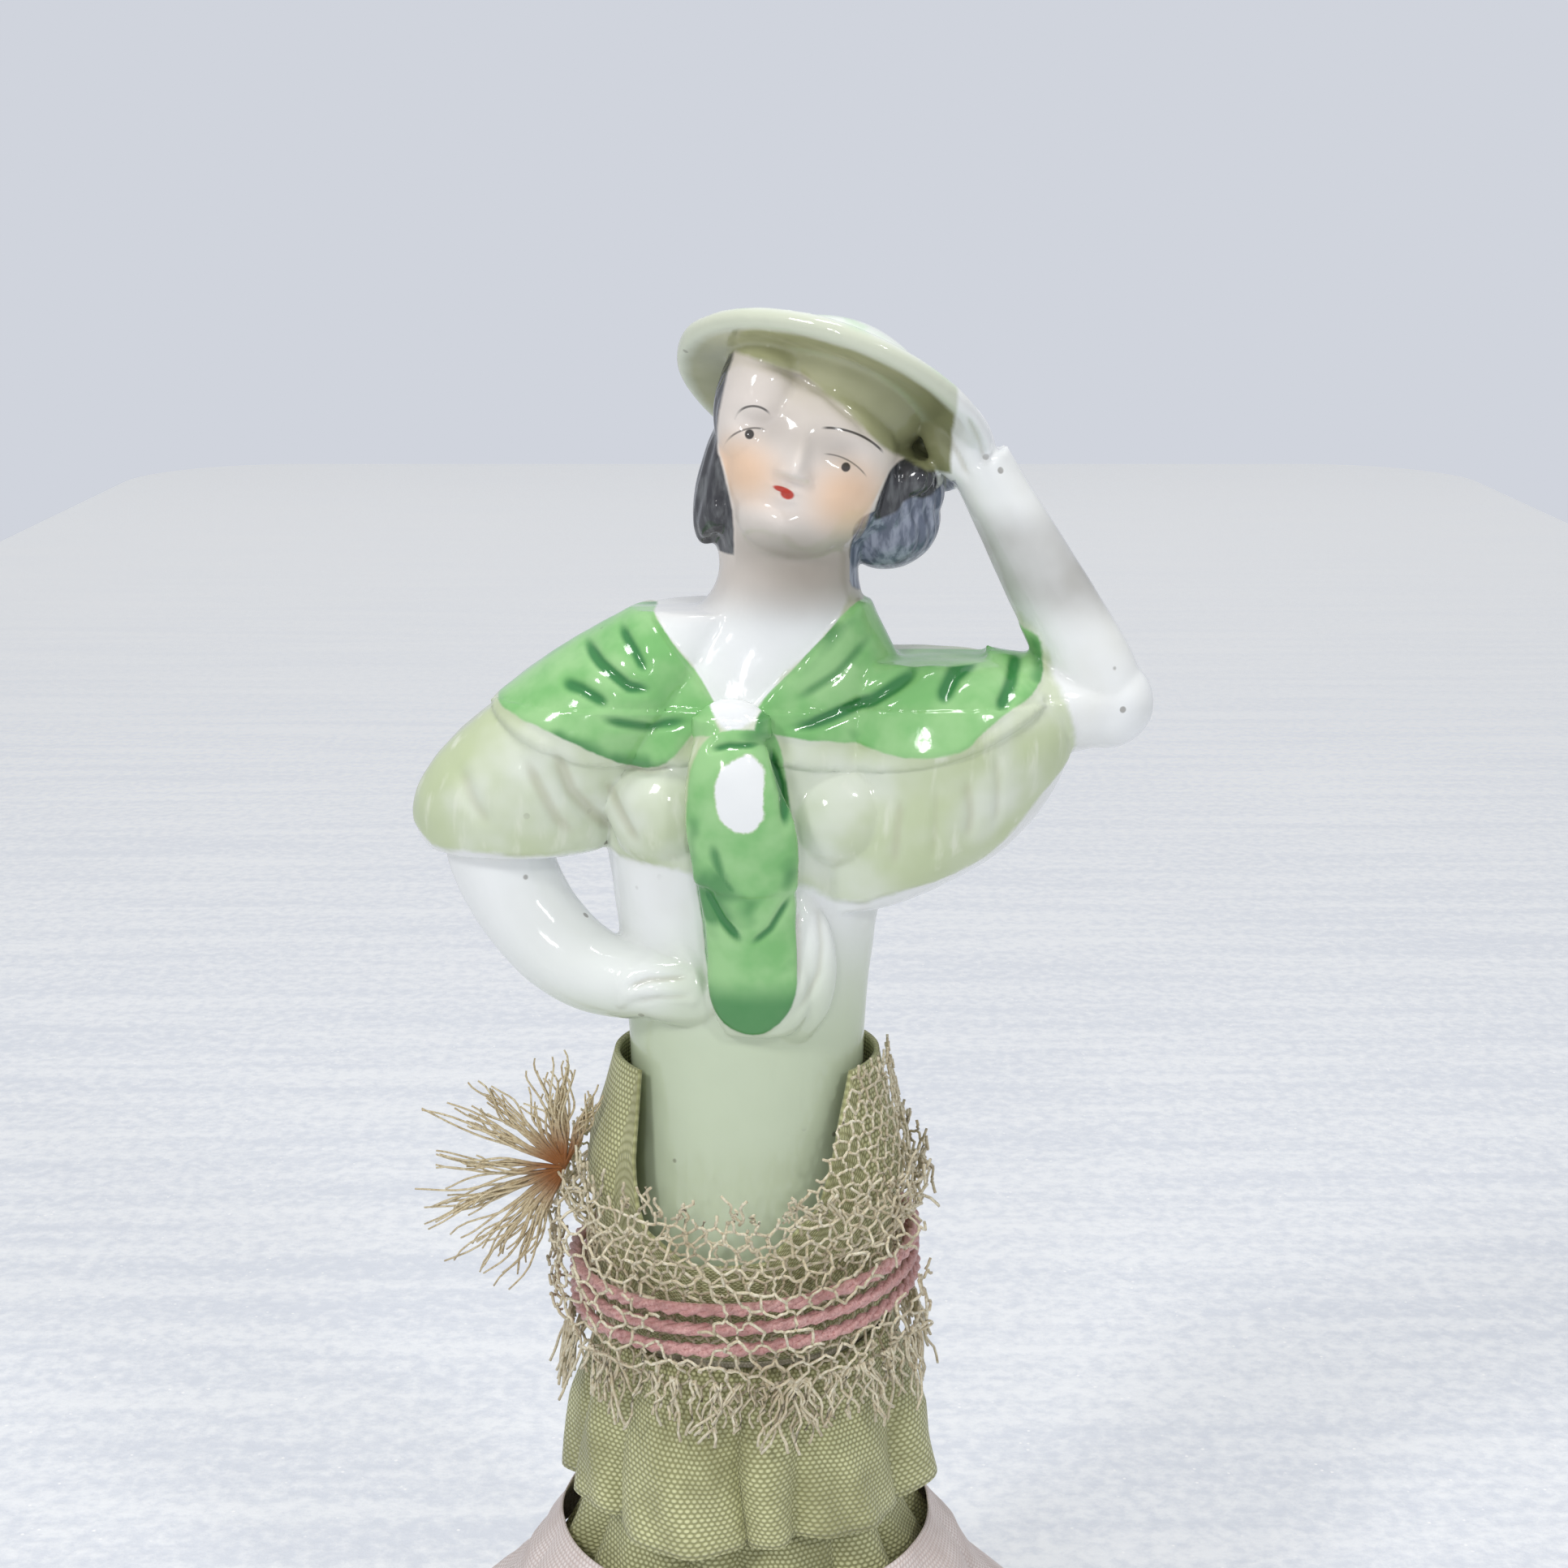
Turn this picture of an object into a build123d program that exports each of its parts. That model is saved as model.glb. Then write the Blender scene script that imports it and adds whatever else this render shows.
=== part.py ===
from build123d import *
from math import atan2, cos, degrees, pi, radians, sin, sqrt
import os

# A half-doll pin cushion: a glazed porcelain lady, hollow and open below the hips, is sewn on to
# the neck of a stuffed bell-shaped cushion and dressed with gathered ribbon, net and a wound cord.
# Millimetres, +Z up, the lady faces -Y. The origin is the centre of the cushion's underside.

os.makedirs("parts", exist_ok=True)

# ---- Driving dimensions -------------------------------------------------------------------
# Cushion: a bell with a slim neck, a full skirt and a tucked-in lower edge
base_cloth_thickness = 1.0
base_card_thickness = 1.2
neck_height = 61.5  # shoulder that carries the porcelain
neck_radius = 12.9
skirt_radius = 34.0  # fullest radius of the bell
skirt_full_height = 9.0  # height of the fullest radius
skirt_slim_height = 41.0  # above this the bell is as slim as its neck
edge_tuck = 4.4  # how far the lower edge draws in
lining_thickness = 0.6
layer_clearance = 0.1  # between stuffing, lining, card and base cloth
whip_stitch_count = 36
whip_stitch_rise = 2.4

# Porcelain half-doll, heights measured from its lower rim
wall = 2.2
rim_radius = 12.3
hollow_height = 46.0
wadding_height = 25.0
wadding_clearance = 0.35
sew_hole_radius = 1.1
sew_hole_height = 3.4
sew_hole_spacing = 11.0

# Ribbons, net, gauze and cord
cloth_clearance = 0.3
ribbon_thickness = 0.8
net_thickness = 0.6
gauze_thickness = 0.5
thread_radius = 0.25
cord_radius = 0.75
cord_turns = 3
cord_gap = 0.5  # clear gap between neighbouring turns
cord_height = 1.8  # lowest turn above the porcelain's rim
cord_slant = 3.0  # the winding rises to the lady's left hand
gathered_fold = 0.4  # fold depth where a layer is drawn in under the next
pinched_fold = 0.08  # fold depth where a layer is bound flat
fold_growth = 1.35  # deepest fold as a multiple of its stated depth

# ---- Shared geometry ----------------------------------------------------------------------


def bell_radius(z):
    """Outer radius of the lining at a height."""
    if z >= skirt_slim_height:
        return neck_radius
    if z >= skirt_full_height:
        share = (z - skirt_full_height) / (skirt_slim_height - skirt_full_height)
        return neck_radius + (skirt_radius - neck_radius) * (1 + cos(pi * share)) / 2
    drop = (skirt_full_height - z) / skirt_full_height
    return skirt_radius - edge_tuck * (1 - sqrt(max(0, 1 - drop * drop)))


def ellipsoid(width, depth, height):
    """Solid ellipsoid from its three semi-axes, centred on the origin."""
    with BuildPart() as form:
        Sphere(radius=1)
        scale(by=(width, depth, height))
    return form.part


def stacked_loft(sections, margin=0.0):
    """Smooth body through level ellipses: (height, half width, half depth, centre x, centre y)."""
    with BuildPart() as form:
        for height, half_width, half_depth, centre_x, centre_y in sections:
            with BuildSketch(Plane((centre_x, centre_y, height))):
                Ellipse(half_width + margin, half_depth + margin)
        loft()
    return form.part


def limb(stations):
    """Tapered round limb through stations (x, y, z, radius), each square to the limb's run."""
    centres = [Vector(*station[:3]) for station in stations]
    with BuildPart() as form:
        for index, station in enumerate(stations):
            before = centres[max(index - 1, 0)]
            after = centres[min(index + 1, len(centres) - 1)]
            with BuildSketch(Plane(centres[index], x_dir=(0, 1, 0), z_dir=after - before)):
                Circle(station[3])
        loft()
    return form.part


def scalloped(height, radius_x, radius_y, folds, depth, turn):
    """Closed outline of rounded folds: one arc per fold, creases on the stated radii."""
    creases = []
    crowns = []
    for fold in range(folds):
        start = 360 / folds * fold + 0.22 * 360 / folds * sin(2.6 * fold) + turn
        following = fold + 1
        end = 360 / folds * following + 0.22 * 360 / folds * sin(2.6 * (following % folds)) + turn
        rise = depth * (1 + 0.35 * sin(1.9 * fold + turn))
        middle = radians((start + end) / 2)
        creases.append((radius_x * cos(radians(start)), radius_y * sin(radians(start))))
        crowns.append(((radius_x + rise) * cos(middle), (radius_y + rise) * sin(middle)))
    with BuildSketch(Plane.XY.offset(height)) as outline:
        with BuildLine():
            for fold in range(folds):
                ThreePointArc(creases[fold], crowns[fold], creases[(fold + 1) % folds])
        make_face()
    return outline.sketch


def gathered_ring(stations, folds, thickness, turn=0.0):
    """Closed ring of gathered cloth through stations (height, inner x, inner y, fold depth)."""
    with BuildPart() as form:
        for height, inner_x, inner_y, depth in stations:
            add(scalloped(height, inner_x + thickness, inner_y + thickness, folds, depth, turn))
        loft(ruled=True)
        for height, inner_x, inner_y, depth in stations:
            add(scalloped(height, inner_x, inner_y, folds, depth, turn))
        loft(ruled=True, mode=Mode.SUBTRACT)
    return form.part


def skirt_stations(levels):
    """Stations of a ring on the bell: each level is (height, gap to the bell, fold depth)."""
    return [(z, bell_radius(z) + gap, bell_radius(z) + gap, depth) for z, gap, depth in levels]


# ---- Porcelain half-doll ------------------------------------------------------------------
rim_height = neck_height + cloth_clearance

# Torso from the rim to inside the head
torso_sections = [
    (rim_height, rim_radius, rim_radius, 0.0, 0.0),
    (rim_height + 5, rim_radius, rim_radius - 0.6, 0.0, 0.0),
    (rim_height + 13, 11.6, 10.4, 0.0, 0.0),
    (rim_height + 25, 11.1, 8.9, 0.3, 0.0),
    (rim_height + 35, 11.7, 8.4, 0.3, 0.0),
    (rim_height + 43, 12.6, 8.6, 0.4, 0.0),
    (rim_height + 52, 14.2, 8.8, 0.6, 0.0),
    (rim_height + 59, 14.2, 7.8, 0.9, 0.2),
    (rim_height + 64.5, 11.0, 6.7, 2.2, 0.4),
    (rim_height + 69, 7.2, 6.2, 3.8, 0.4),
    (rim_height + 73, 6.3, 6.1, 4.2, 0.3),
    (rim_height + 80, 6.3, 6.2, 5.2, 0.2),
]
left_sleeve_sections = [
    (rim_height + 46.2, 8.4, 6.8, -20.9, 0.2),
    (rim_height + 49.5, 9.9, 7.8, -20.5, 0.2),
    (rim_height + 54.5, 10.5, 8.0, -17.7, 0.2),
    (rim_height + 59.5, 10.1, 7.4, -12.8, 0.2),
    (rim_height + 64.5, 8.2, 6.4, -7.8, 0.3),
    (rim_height + 68.4, 5.6, 5.0, -3.8, 0.4),
]
right_sleeve_sections = [
    (rim_height + 41.2, 5.5, 6.4, 8.6, 0.2),
    (rim_height + 44.7, 10.4, 7.9, 12.2, 0.2),
    (rim_height + 49.3, 11.9, 8.8, 15.6, 0.2),
    (rim_height + 55, 12.0, 8.8, 18.2, 0.2),
    (rim_height + 59, 11.4, 8.0, 18.4, 0.2),
    (rim_height + 62, 9.6, 6.6, 17.2, 0.3),
    (rim_height + 63.8, 7.0, 4.6, 15.4, 0.3),
]
hat_centre = Vector(8.4, 1.6, rim_height + 86.8)
hat_radius = 14.9
hat_brim_thickness = 1.9
hat_crown_radius = 8.6
hat_crown_height = 5.8
hat_pitch = 31.0  # front of the brim tipped up
hat_roll = 19.5  # brim dips to the lady's left hand
head_tilt = 15.0

torso = stacked_loft(torso_sections)
hollow = stacked_loft([s for s in torso_sections if s[0] <= rim_height + hollow_height], -wall)
left_sleeve = stacked_loft(left_sleeve_sections)
right_sleeve = stacked_loft(right_sleeve_sections)
left_arm = limb(
    [
        (-22.8, 0.2, rim_height + 47.5, 5.0),
        (-21.9, -0.2, rim_height + 43.2, 4.7),
        (-19.3, -1.2, rim_height + 38.8, 4.4),
        (-15.4, -2.8, rim_height + 35.4, 4.1),
        (-10.8, -4.6, rim_height + 34.2, 3.6),
        (-6.6, -6.2, rim_height + 34.2, 3.0),
    ]
)
right_upper_arm = limb(
    [
        (22.0, 0.6, rim_height + 59.4, 5.2),
        (28.0, 0.9, rim_height + 59.0, 4.8),
        (33.4, 1.2, rim_height + 59.6, 4.2),
    ]
)
right_forearm = limb(
    [
        (33.4, 1.2, rim_height + 59.0, 3.9),
        (31.0, 1.0, rim_height + 64.0, 4.1),
        (27.6, 0.6, rim_height + 70.2, 3.6),
        (24.0, 0.0, rim_height + 76.6, 3.1),
        (21.2, -0.4, rim_height + 81.6, 2.9),
    ]
)
elbow = ellipsoid(4.3, 4.2, 4.3)
left_hand = ellipsoid(5.4, 2.0, 3.1)
right_hand = ellipsoid(3.0, 2.4, 4.6)
skull = ellipsoid(7.9, 8.0, 9.2)
jaw = ellipsoid(5.2, 4.8, 4.6)
nape_curl = ellipsoid(4.7, 5.0, 4.0)
side_lock = ellipsoid(2.2, 4.6, 6.6)
right_lock = ellipsoid(3.0, 4.2, 4.6)
bosom = ellipsoid(6.2, 4.8, 5.4)
sash_fold = ellipsoid(4.2, 1.9, 7.4)
knot = ellipsoid(3.2, 1.9, 2.4)

# Neckerchief: the shoulders grown by its thickness, kept only inside its front outline
kerchief_thickness = 0.7
tie_sections = [
    (rim_height + 30.4, 2.9, 1.1, 1.4, -9.0),
    (rim_height + 34.5, 4.5, 1.5, 1.6, -9.3),
    (rim_height + 41, 4.3, 1.7, 0.8, -9.6),
    (rim_height + 48, 4.6, 1.9, 0.2, -10.6),
    (rim_height + 54, 4.1, 2.0, -0.6, -11.0),
    (rim_height + 59.5, 2.6, 1.8, -0.9, -9.4),
]
tie = stacked_loft(tie_sections)
with BuildPart() as kerchief:
    add(stacked_loft(torso_sections[5:10], kerchief_thickness))
    add(stacked_loft(left_sleeve_sections[2:], kerchief_thickness))
    add(stacked_loft(right_sleeve_sections[2:], kerchief_thickness))
    with BuildSketch(Plane.XZ):
        with BuildLine():
            Line((-0.9, rim_height + 58.4), (-10.0, rim_height + 70.5))
            Line((-10.0, rim_height + 70.5), (-24.0, rim_height + 61.0))
            ThreePointArc(
                (-24.0, rim_height + 61.0),
                (-12.6, rim_height + 55.4),
                (-2.4, rim_height + 56.4),
            )
            Line((-2.4, rim_height + 56.4), (1.2, rim_height + 56.4))
            ThreePointArc(
                (1.2, rim_height + 56.4),
                (15.0, rim_height + 55.4),
                (27.2, rim_height + 60.4),
            )
            Line((27.2, rim_height + 60.4), (27.0, rim_height + 66.4))
            Line((27.0, rim_height + 66.4), (11.0, rim_height + 69.4))
            Line((11.0, rim_height + 69.4), (-0.9, rim_height + 58.4))
        make_face()
    extrude(amount=rim_radius * 2, both=True, mode=Mode.INTERSECT)

# Hat: a dished brim with a rounded edge and a low domed crown, tipped back on the head
with BuildPart() as hat:
    with BuildSketch(Plane.XZ):
        with BuildLine():
            Polyline(
                (0, hat_crown_height * 0.3),
                (0, 0),
                (hat_crown_radius, -0.2),
                (hat_radius - hat_brim_thickness / 2, -1.5),
            )
            ThreePointArc(
                (hat_radius - hat_brim_thickness / 2, -1.5),
                (hat_radius, -1.5 + hat_brim_thickness / 2),
                (hat_radius - hat_brim_thickness / 2, -1.5 + hat_brim_thickness),
            )
            Line(
                (hat_radius - hat_brim_thickness / 2, -1.5 + hat_brim_thickness),
                (hat_crown_radius, hat_brim_thickness),
            )
            Line((hat_crown_radius, hat_brim_thickness), (0, hat_crown_height * 0.3))
        make_face()
    revolve(axis=Axis.Z)
    with Locations((0, 0, hat_brim_thickness * 0.5)):
        add(ellipsoid(hat_crown_radius, hat_crown_radius, hat_crown_height))

with BuildPart() as half_doll:
    add(torso)
    add(left_sleeve)
    add(right_sleeve)
    add(left_arm)
    add(right_upper_arm)
    add(right_forearm)
    with Locations((33.5, 1.2, rim_height + 59.2)):
        add(elbow)
    with Locations(Location((-5.8, -7.0, rim_height + 33.8), (0, 12, 0))):
        add(left_hand)
    with Locations(Location((19.4, -1.0, rim_height + 83.4), (0, -28, 0))):
        add(right_hand)
    with Locations(Location((6.0, -0.6, rim_height + 81.6), (0, head_tilt, 0))):
        add(skull)
    with Locations(Location((4.5, -3.4, rim_height + 77.6), (0, head_tilt, 0))):
        add(jaw)
    with Locations(Location((-1.7, 0.4, rim_height + 80.4), (0, head_tilt, 0))):
        add(side_lock)
    with Locations(Location((13.2, 0.6, rim_height + 78.6), (0, head_tilt, 0))):
        add(right_lock)
    with Locations(Location((13.6, 2.6, rim_height + 75.6), (0, -30, 0))):
        add(nape_curl)
    with Locations((-6.0, -4.4, rim_height + 50.6), (8.2, -4.4, rim_height + 50.2)):
        add(bosom)
    with Locations((4.4, -7.6, rim_height + 36.4)):
        add(sash_fold)
    with Locations((-0.8, -9.6, rim_height + 59.4)):
        add(knot)
    add(tie)
    add(kerchief.part)
    with Locations(Location(hat_centre, (-hat_pitch, hat_roll, 0))):
        add(hat.part)
    add(hollow, mode=Mode.SUBTRACT)
    with BuildSketch(Plane.XZ.offset(-rim_radius * 2)):
        with Locations(
            (-sew_hole_spacing / 2, rim_height + sew_hole_height),
            (sew_hole_spacing / 2, rim_height + sew_hole_height),
        ):
            Circle(sew_hole_radius)
    extrude(amount=rim_radius * 4, mode=Mode.SUBTRACT)
half_doll.part.label = "half_doll"
print("half_doll solids", len(half_doll.part.solids()), "volume", round(half_doll.part.volume))
export_step(half_doll.part, "parts/half_doll.step")

# ---- Cushion ------------------------------------------------------------------------------
lining_bottom = base_cloth_thickness + layer_clearance
card_top = lining_bottom + base_card_thickness
bell_heights = [34.0, 28.0, 24.0, 20.0, 14.0]
edge_heights = [5.5, 2.8]


def bell_section(inset, bottom, top):
    """Half section of the bell, drawn in from the lining's outer face, between two heights."""
    with BuildSketch(Plane.XZ) as section:
        with BuildLine():
            Line((0, bottom), (0, top))
            Line((0, top), (neck_radius - inset, top))
            Line((neck_radius - inset, top), (neck_radius - inset, skirt_slim_height))
            Spline(
                (neck_radius - inset, skirt_slim_height),
                *[(bell_radius(z) - inset, z) for z in bell_heights],
                (skirt_radius - inset, skirt_full_height),
                tangents=[(0, -1), (0, -1)],
            )
            Spline(
                (skirt_radius - inset, skirt_full_height),
                *[(bell_radius(z) - inset, z) for z in edge_heights],
                (bell_radius(bottom) - inset, bottom),
            )
            Line((bell_radius(bottom) - inset, bottom), (0, bottom))
        make_face()
    return section.sketch


with BuildPart() as base_cloth:
    Cylinder(
        radius=bell_radius(lining_bottom),
        height=base_cloth_thickness,
        align=(Align.CENTER, Align.CENTER, Align.MIN),
    )
base_cloth.part.label = "base_cloth"
export_step(base_cloth.part, "parts/base_cloth.step")

with BuildPart() as base_card:
    with Locations((0, 0, lining_bottom)):
        Cylinder(
            radius=bell_radius(lining_bottom) - lining_thickness - layer_clearance,
            height=base_card_thickness,
            align=(Align.CENTER, Align.CENTER, Align.MIN),
        )
base_card.part.label = "base_card"
export_step(base_card.part, "parts/base_card.step")

# Lining: a sewn bag, closed over the neck and open below, where the base cloth is stitched on
with BuildPart() as lining_bag:
    add(bell_section(0, lining_bottom, neck_height))
    revolve(axis=Axis.Z)
    add(bell_section(lining_thickness, lining_bottom, neck_height - lining_thickness))
    revolve(axis=Axis.Z, mode=Mode.SUBTRACT)
lining_bag.part.label = "lining_bag"
export_step(lining_bag.part, "parts/lining_bag.step")

stuffing_inset = lining_thickness + layer_clearance
with BuildPart() as cushion_stuffing:
    add(bell_section(stuffing_inset, card_top + layer_clearance, neck_height - stuffing_inset))
    revolve(axis=Axis.Z)
cushion_stuffing.part.label = "cushion_stuffing"
export_step(cushion_stuffing.part, "parts/cushion_stuffing.step")

# Wadding packed up inside the porcelain, standing on the bag
wadding_sections = [s for s in torso_sections if s[0] <= rim_height + wadding_height]
with BuildPart() as neck_wadding:
    add(stacked_loft(wadding_sections, -wall - wadding_clearance))
neck_wadding.part.label = "neck_wadding"
export_step(neck_wadding.part, "parts/neck_wadding.step")

# Whip stitches that close the base cloth to the lining, laid over the edge at a slant
stitch_foot = base_cloth_thickness / 2
stitch_head = stitch_foot + whip_stitch_rise
foot_radius = bell_radius(lining_bottom) + thread_radius + layer_clearance
head_radius = bell_radius(stitch_head) + thread_radius + 2 * layer_clearance
with BuildPart() as base_stitches:
    for index in range(whip_stitch_count):
        foot_angle = 2 * pi * index / whip_stitch_count
        head_angle = foot_angle + 0.25 * 2 * pi / whip_stitch_count
        foot = (foot_radius * cos(foot_angle), foot_radius * sin(foot_angle), stitch_foot)
        head = (head_radius * cos(head_angle), head_radius * sin(head_angle), stitch_head)
        add(limb([(*foot, thread_radius), (*head, thread_radius)]))
base_stitches.part.label = "base_stitches"
export_step(base_stitches.part, "parts/base_stitches.step")

# Sewing through the porcelain: in at a hole, over the rim and down to the bag's shoulder
sew_half_spacing = sew_hole_spacing / 2
wall_face = sqrt(rim_radius**2 - sew_half_spacing**2)
sew_drop = wall_face + thread_radius + cloth_clearance
sew_corners = [(-1, -1), (1, -1), (-1, 1), (1, 1)]
for index, (side, face) in enumerate(sew_corners, start=1):
    with BuildPart() as doll_stitch:
        with BuildLine() as thread_run:
            FilletPolyline(
                (side * sew_half_spacing, face * (wall_face - wall * 0.8), rim_height + sew_hole_height),
                (side * sew_half_spacing, face * sew_drop, rim_height + sew_hole_height),
                (side * sew_half_spacing, face * sew_drop, neck_height + layer_clearance),
                radius=3 * thread_radius,
            )
        with BuildSketch(Plane(thread_run.line @ 0, z_dir=thread_run.line % 0)):
            Circle(thread_radius)
        sweep()
    doll_stitch.part.label = f"doll_stitch_{index}"
    export_step(doll_stitch.part, f"parts/doll_stitch_{index}.step")

# ---- Hip ribbon, net and waist cord -------------------------------------------------------
# The ribbon wraps the hips, open in a V at the front; the net frill is bound over it
hip_inner = rim_radius + 2 * thread_radius + 2 * cloth_clearance + 0.2
hip_sections = [
    (rim_height + 0.3, hip_inner, hip_inner, 0.0, 0.0),
    (rim_height + 4, hip_inner, hip_inner, 0.0, 0.0),
    (rim_height + 7, hip_inner, hip_inner - 0.1, 0.0, 0.0),
    (rim_height + 10.2, hip_inner, hip_inner - 0.3, 0.0, 0.0),
    (rim_height + 14, hip_inner + 0.9, hip_inner - 0.2, 0.0, 0.0),
    (rim_height + 18, hip_inner + 0.4, hip_inner - 1.2, 0.0, 0.0),
    (rim_height + 22, hip_inner - 0.8, hip_inner - 2.6, 0.1, 0.0),
    (rim_height + 26, hip_inner - 1.7, hip_inner - 3.6, 0.3, 0.0),
]
with BuildPart() as hip_ribbon:
    add(stacked_loft(hip_sections, ribbon_thickness))
    add(stacked_loft(hip_sections), mode=Mode.SUBTRACT)
    with BuildSketch(Plane.XZ):
        with BuildLine():
            Polyline(
                (-14.0, rim_height + 30),
                (-11.0, rim_height + 26),
                (-8.6, rim_height + 12),
                (-5.0, rim_height + 9.4),
                (2.0, rim_height + 10),
                (6.6, rim_height + 15),
                (10.8, rim_height + 26),
                (14.0, rim_height + 30),
                close=True,
            )
        make_face()
    extrude(amount=2 * rim_radius, mode=Mode.SUBTRACT)
hip_ribbon.part.label = "hip_ribbon"
export_step(hip_ribbon.part, "parts/hip_ribbon.step")

# Net over the right hip, standing up beside the waist
panel_offset = ribbon_thickness + cloth_clearance + 0.1
with BuildPart() as net_panel:
    add(stacked_loft(hip_sections, panel_offset + net_thickness))
    add(stacked_loft(hip_sections, panel_offset), mode=Mode.SUBTRACT)
    with BuildSketch(Plane.XZ):
        with BuildLine():
            Polyline(
                (2.6, rim_height + 12.2),
                (8.4, rim_height + 20.5),
                (10.6, rim_height + 27),
                (19.0, rim_height + 27),
                (19.0, rim_height + 12.2),
                close=True,
            )
        make_face()
    extrude(amount=2 * rim_radius, both=True, mode=Mode.INTERSECT)
    split(bisect_by=Plane.XZ.offset(-4), keep=Keep.TOP)
net_panel.part.label = "net_panel"
export_step(net_panel.part, "parts/net_panel.step")

# Gathered frill of net: flared above the cord, pinched by it, flared again over the ribbon
tier_fold = 2.0
tier_shoulder_gap = 1.0
under_gap = cloth_clearance
over_gap = under_gap + ribbon_thickness + gathered_fold * fold_growth + cloth_clearance
pinch_radius = hip_inner + ribbon_thickness + cloth_clearance
frill_lift = panel_offset + net_thickness + cloth_clearance
tier_1_shoulder = neck_height - 4.5
tier_1_reach = tier_shoulder_gap + ribbon_thickness + tier_fold / 2 * fold_growth
hanging_radius = neck_radius + tier_1_reach + cloth_clearance
resting_radius = neck_radius + under_gap + ribbon_thickness + gathered_fold * fold_growth
frill_levels = [
    (tier_1_shoulder, hanging_radius, 0.9),
    (neck_height - 0.1, max(resting_radius + cloth_clearance, pinch_radius), 0.3),
    (rim_height, pinch_radius, pinched_fold),
    (rim_height + 9.8, pinch_radius, pinched_fold),
    (rim_height + 11.2, hip_inner + 0.5 + frill_lift, 0.3),
    (rim_height + 13.6, hip_inner + 1.0 + frill_lift, 0.6),
    (rim_height + 16, hip_inner + 1.0 + frill_lift, 0.8),
]
with BuildPart() as net_frill:
    add(gathered_ring([(z, r, r, depth) for z, r, depth in frill_levels], 14, net_thickness, 0.9))
net_frill.part.label = "net_frill"
export_step(net_frill.part, "parts/net_frill.step")

# Frayed tuft of net standing out at the left hip, a flat fan
tuft_thickness = 1.6
with BuildPart() as net_tuft:
    with BuildSketch(Plane.XZ.offset(4)):
        with BuildLine():
            Line((-17.4, rim_height + 17.4), (-15.4, rim_height + 20.4))
            Line((-15.4, rim_height + 20.4), (-15.8, rim_height + 26.6))
            ThreePointArc(
                (-15.8, rim_height + 26.6),
                (-22.6, rim_height + 27.4),
                (-28.4, rim_height + 22.6),
            )
            Line((-28.4, rim_height + 22.6), (-31.0, rim_height + 5))
            ThreePointArc(
                (-31.0, rim_height + 5),
                (-26.6, rim_height + 9.6),
                (-21.2, rim_height + 14.2),
            )
            Line((-21.2, rim_height + 14.2), (-17.4, rim_height + 17.4))
        make_face()
    extrude(amount=tuft_thickness / 2, both=True)
net_tuft.part.label = "net_tuft"
export_step(net_tuft.part, "parts/net_tuft.step")

# Waist cord: one length wound round the net, two arcs to each quarter turn
cord_route = pinch_radius + net_thickness + cloth_clearance + cord_radius
cord_pitch = 2 * cord_radius + cord_gap
arc_turn = pi / 4
arc_rise = cord_pitch * arc_turn / (2 * pi)
arc_count = round(cord_turns * 2 * pi / arc_turn)
arc_slope = cos(arc_turn / 2) * arc_rise / (2 * cord_route * sin(arc_turn / 2))
with BuildPart() as waist_cord:
    with BuildLine() as cord_run:
        heading = Vector(-1, 0, arc_slope)
        for index in range(arc_count):
            start_angle = pi / 2 + index * arc_turn
            end_angle = start_angle + arc_turn
            arc = TangentArc(
                (cord_route * cos(start_angle), cord_route * sin(start_angle), index * arc_rise),
                (cord_route * cos(end_angle), cord_route * sin(end_angle), (index + 1) * arc_rise),
                tangent=heading,
            )
            heading = arc % 1
    with BuildSketch(Plane(cord_run.line @ 0, z_dir=cord_run.line % 0)):
        Circle(cord_radius)
    sweep()
winding_middle = Vector(0, 0, cord_turns * cord_pitch / 2)
winding_place = Location((0, 0, rim_height + cord_height) + winding_middle, (0, -cord_slant, 0))
waist_cord.part = waist_cord.part.moved(winding_place * Location(-winding_middle))
waist_cord.part.label = "waist_cord"
samples_per_turn = 48
sample_count = samples_per_turn * cord_turns
cord_points = [cord_run.line @ (i / sample_count) for i in range(sample_count + 1)]
cord_self_gap = min(
    (cord_points[i] - cord_points[k]).length - 2 * cord_radius
    for i in range(len(cord_points))
    for k in range(i + samples_per_turn // 2, len(cord_points))
)
print("waist_cord least gap to itself", round(cord_self_gap, 3))
export_step(waist_cord.part, "parts/waist_cord.step")

# Knot and two short ends at the back
knot_depth = 1.5
knot_y = cord_route + cord_radius + cloth_clearance + knot_depth
knot_z = rim_height + cord_height + cord_turns * cord_pitch / 2
with BuildPart() as cord_knot:
    with Locations((0, knot_y, knot_z)):
        add(ellipsoid(2.4, knot_depth, 2.0))
    for side in (-1, 1):
        add(
            limb(
                [
                    (side * 0.7, knot_y, knot_z - 1.0, cord_radius),
                    (side * 2.2, knot_y + 1.2, knot_z - 6, cord_radius),
                    (side * 3.2, knot_y + 1.6, knot_z - 12 - side, cord_radius),
                ]
            )
        )
cord_knot.part.label = "cord_knot"
export_step(cord_knot.part, "parts/cord_knot.step")

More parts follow.
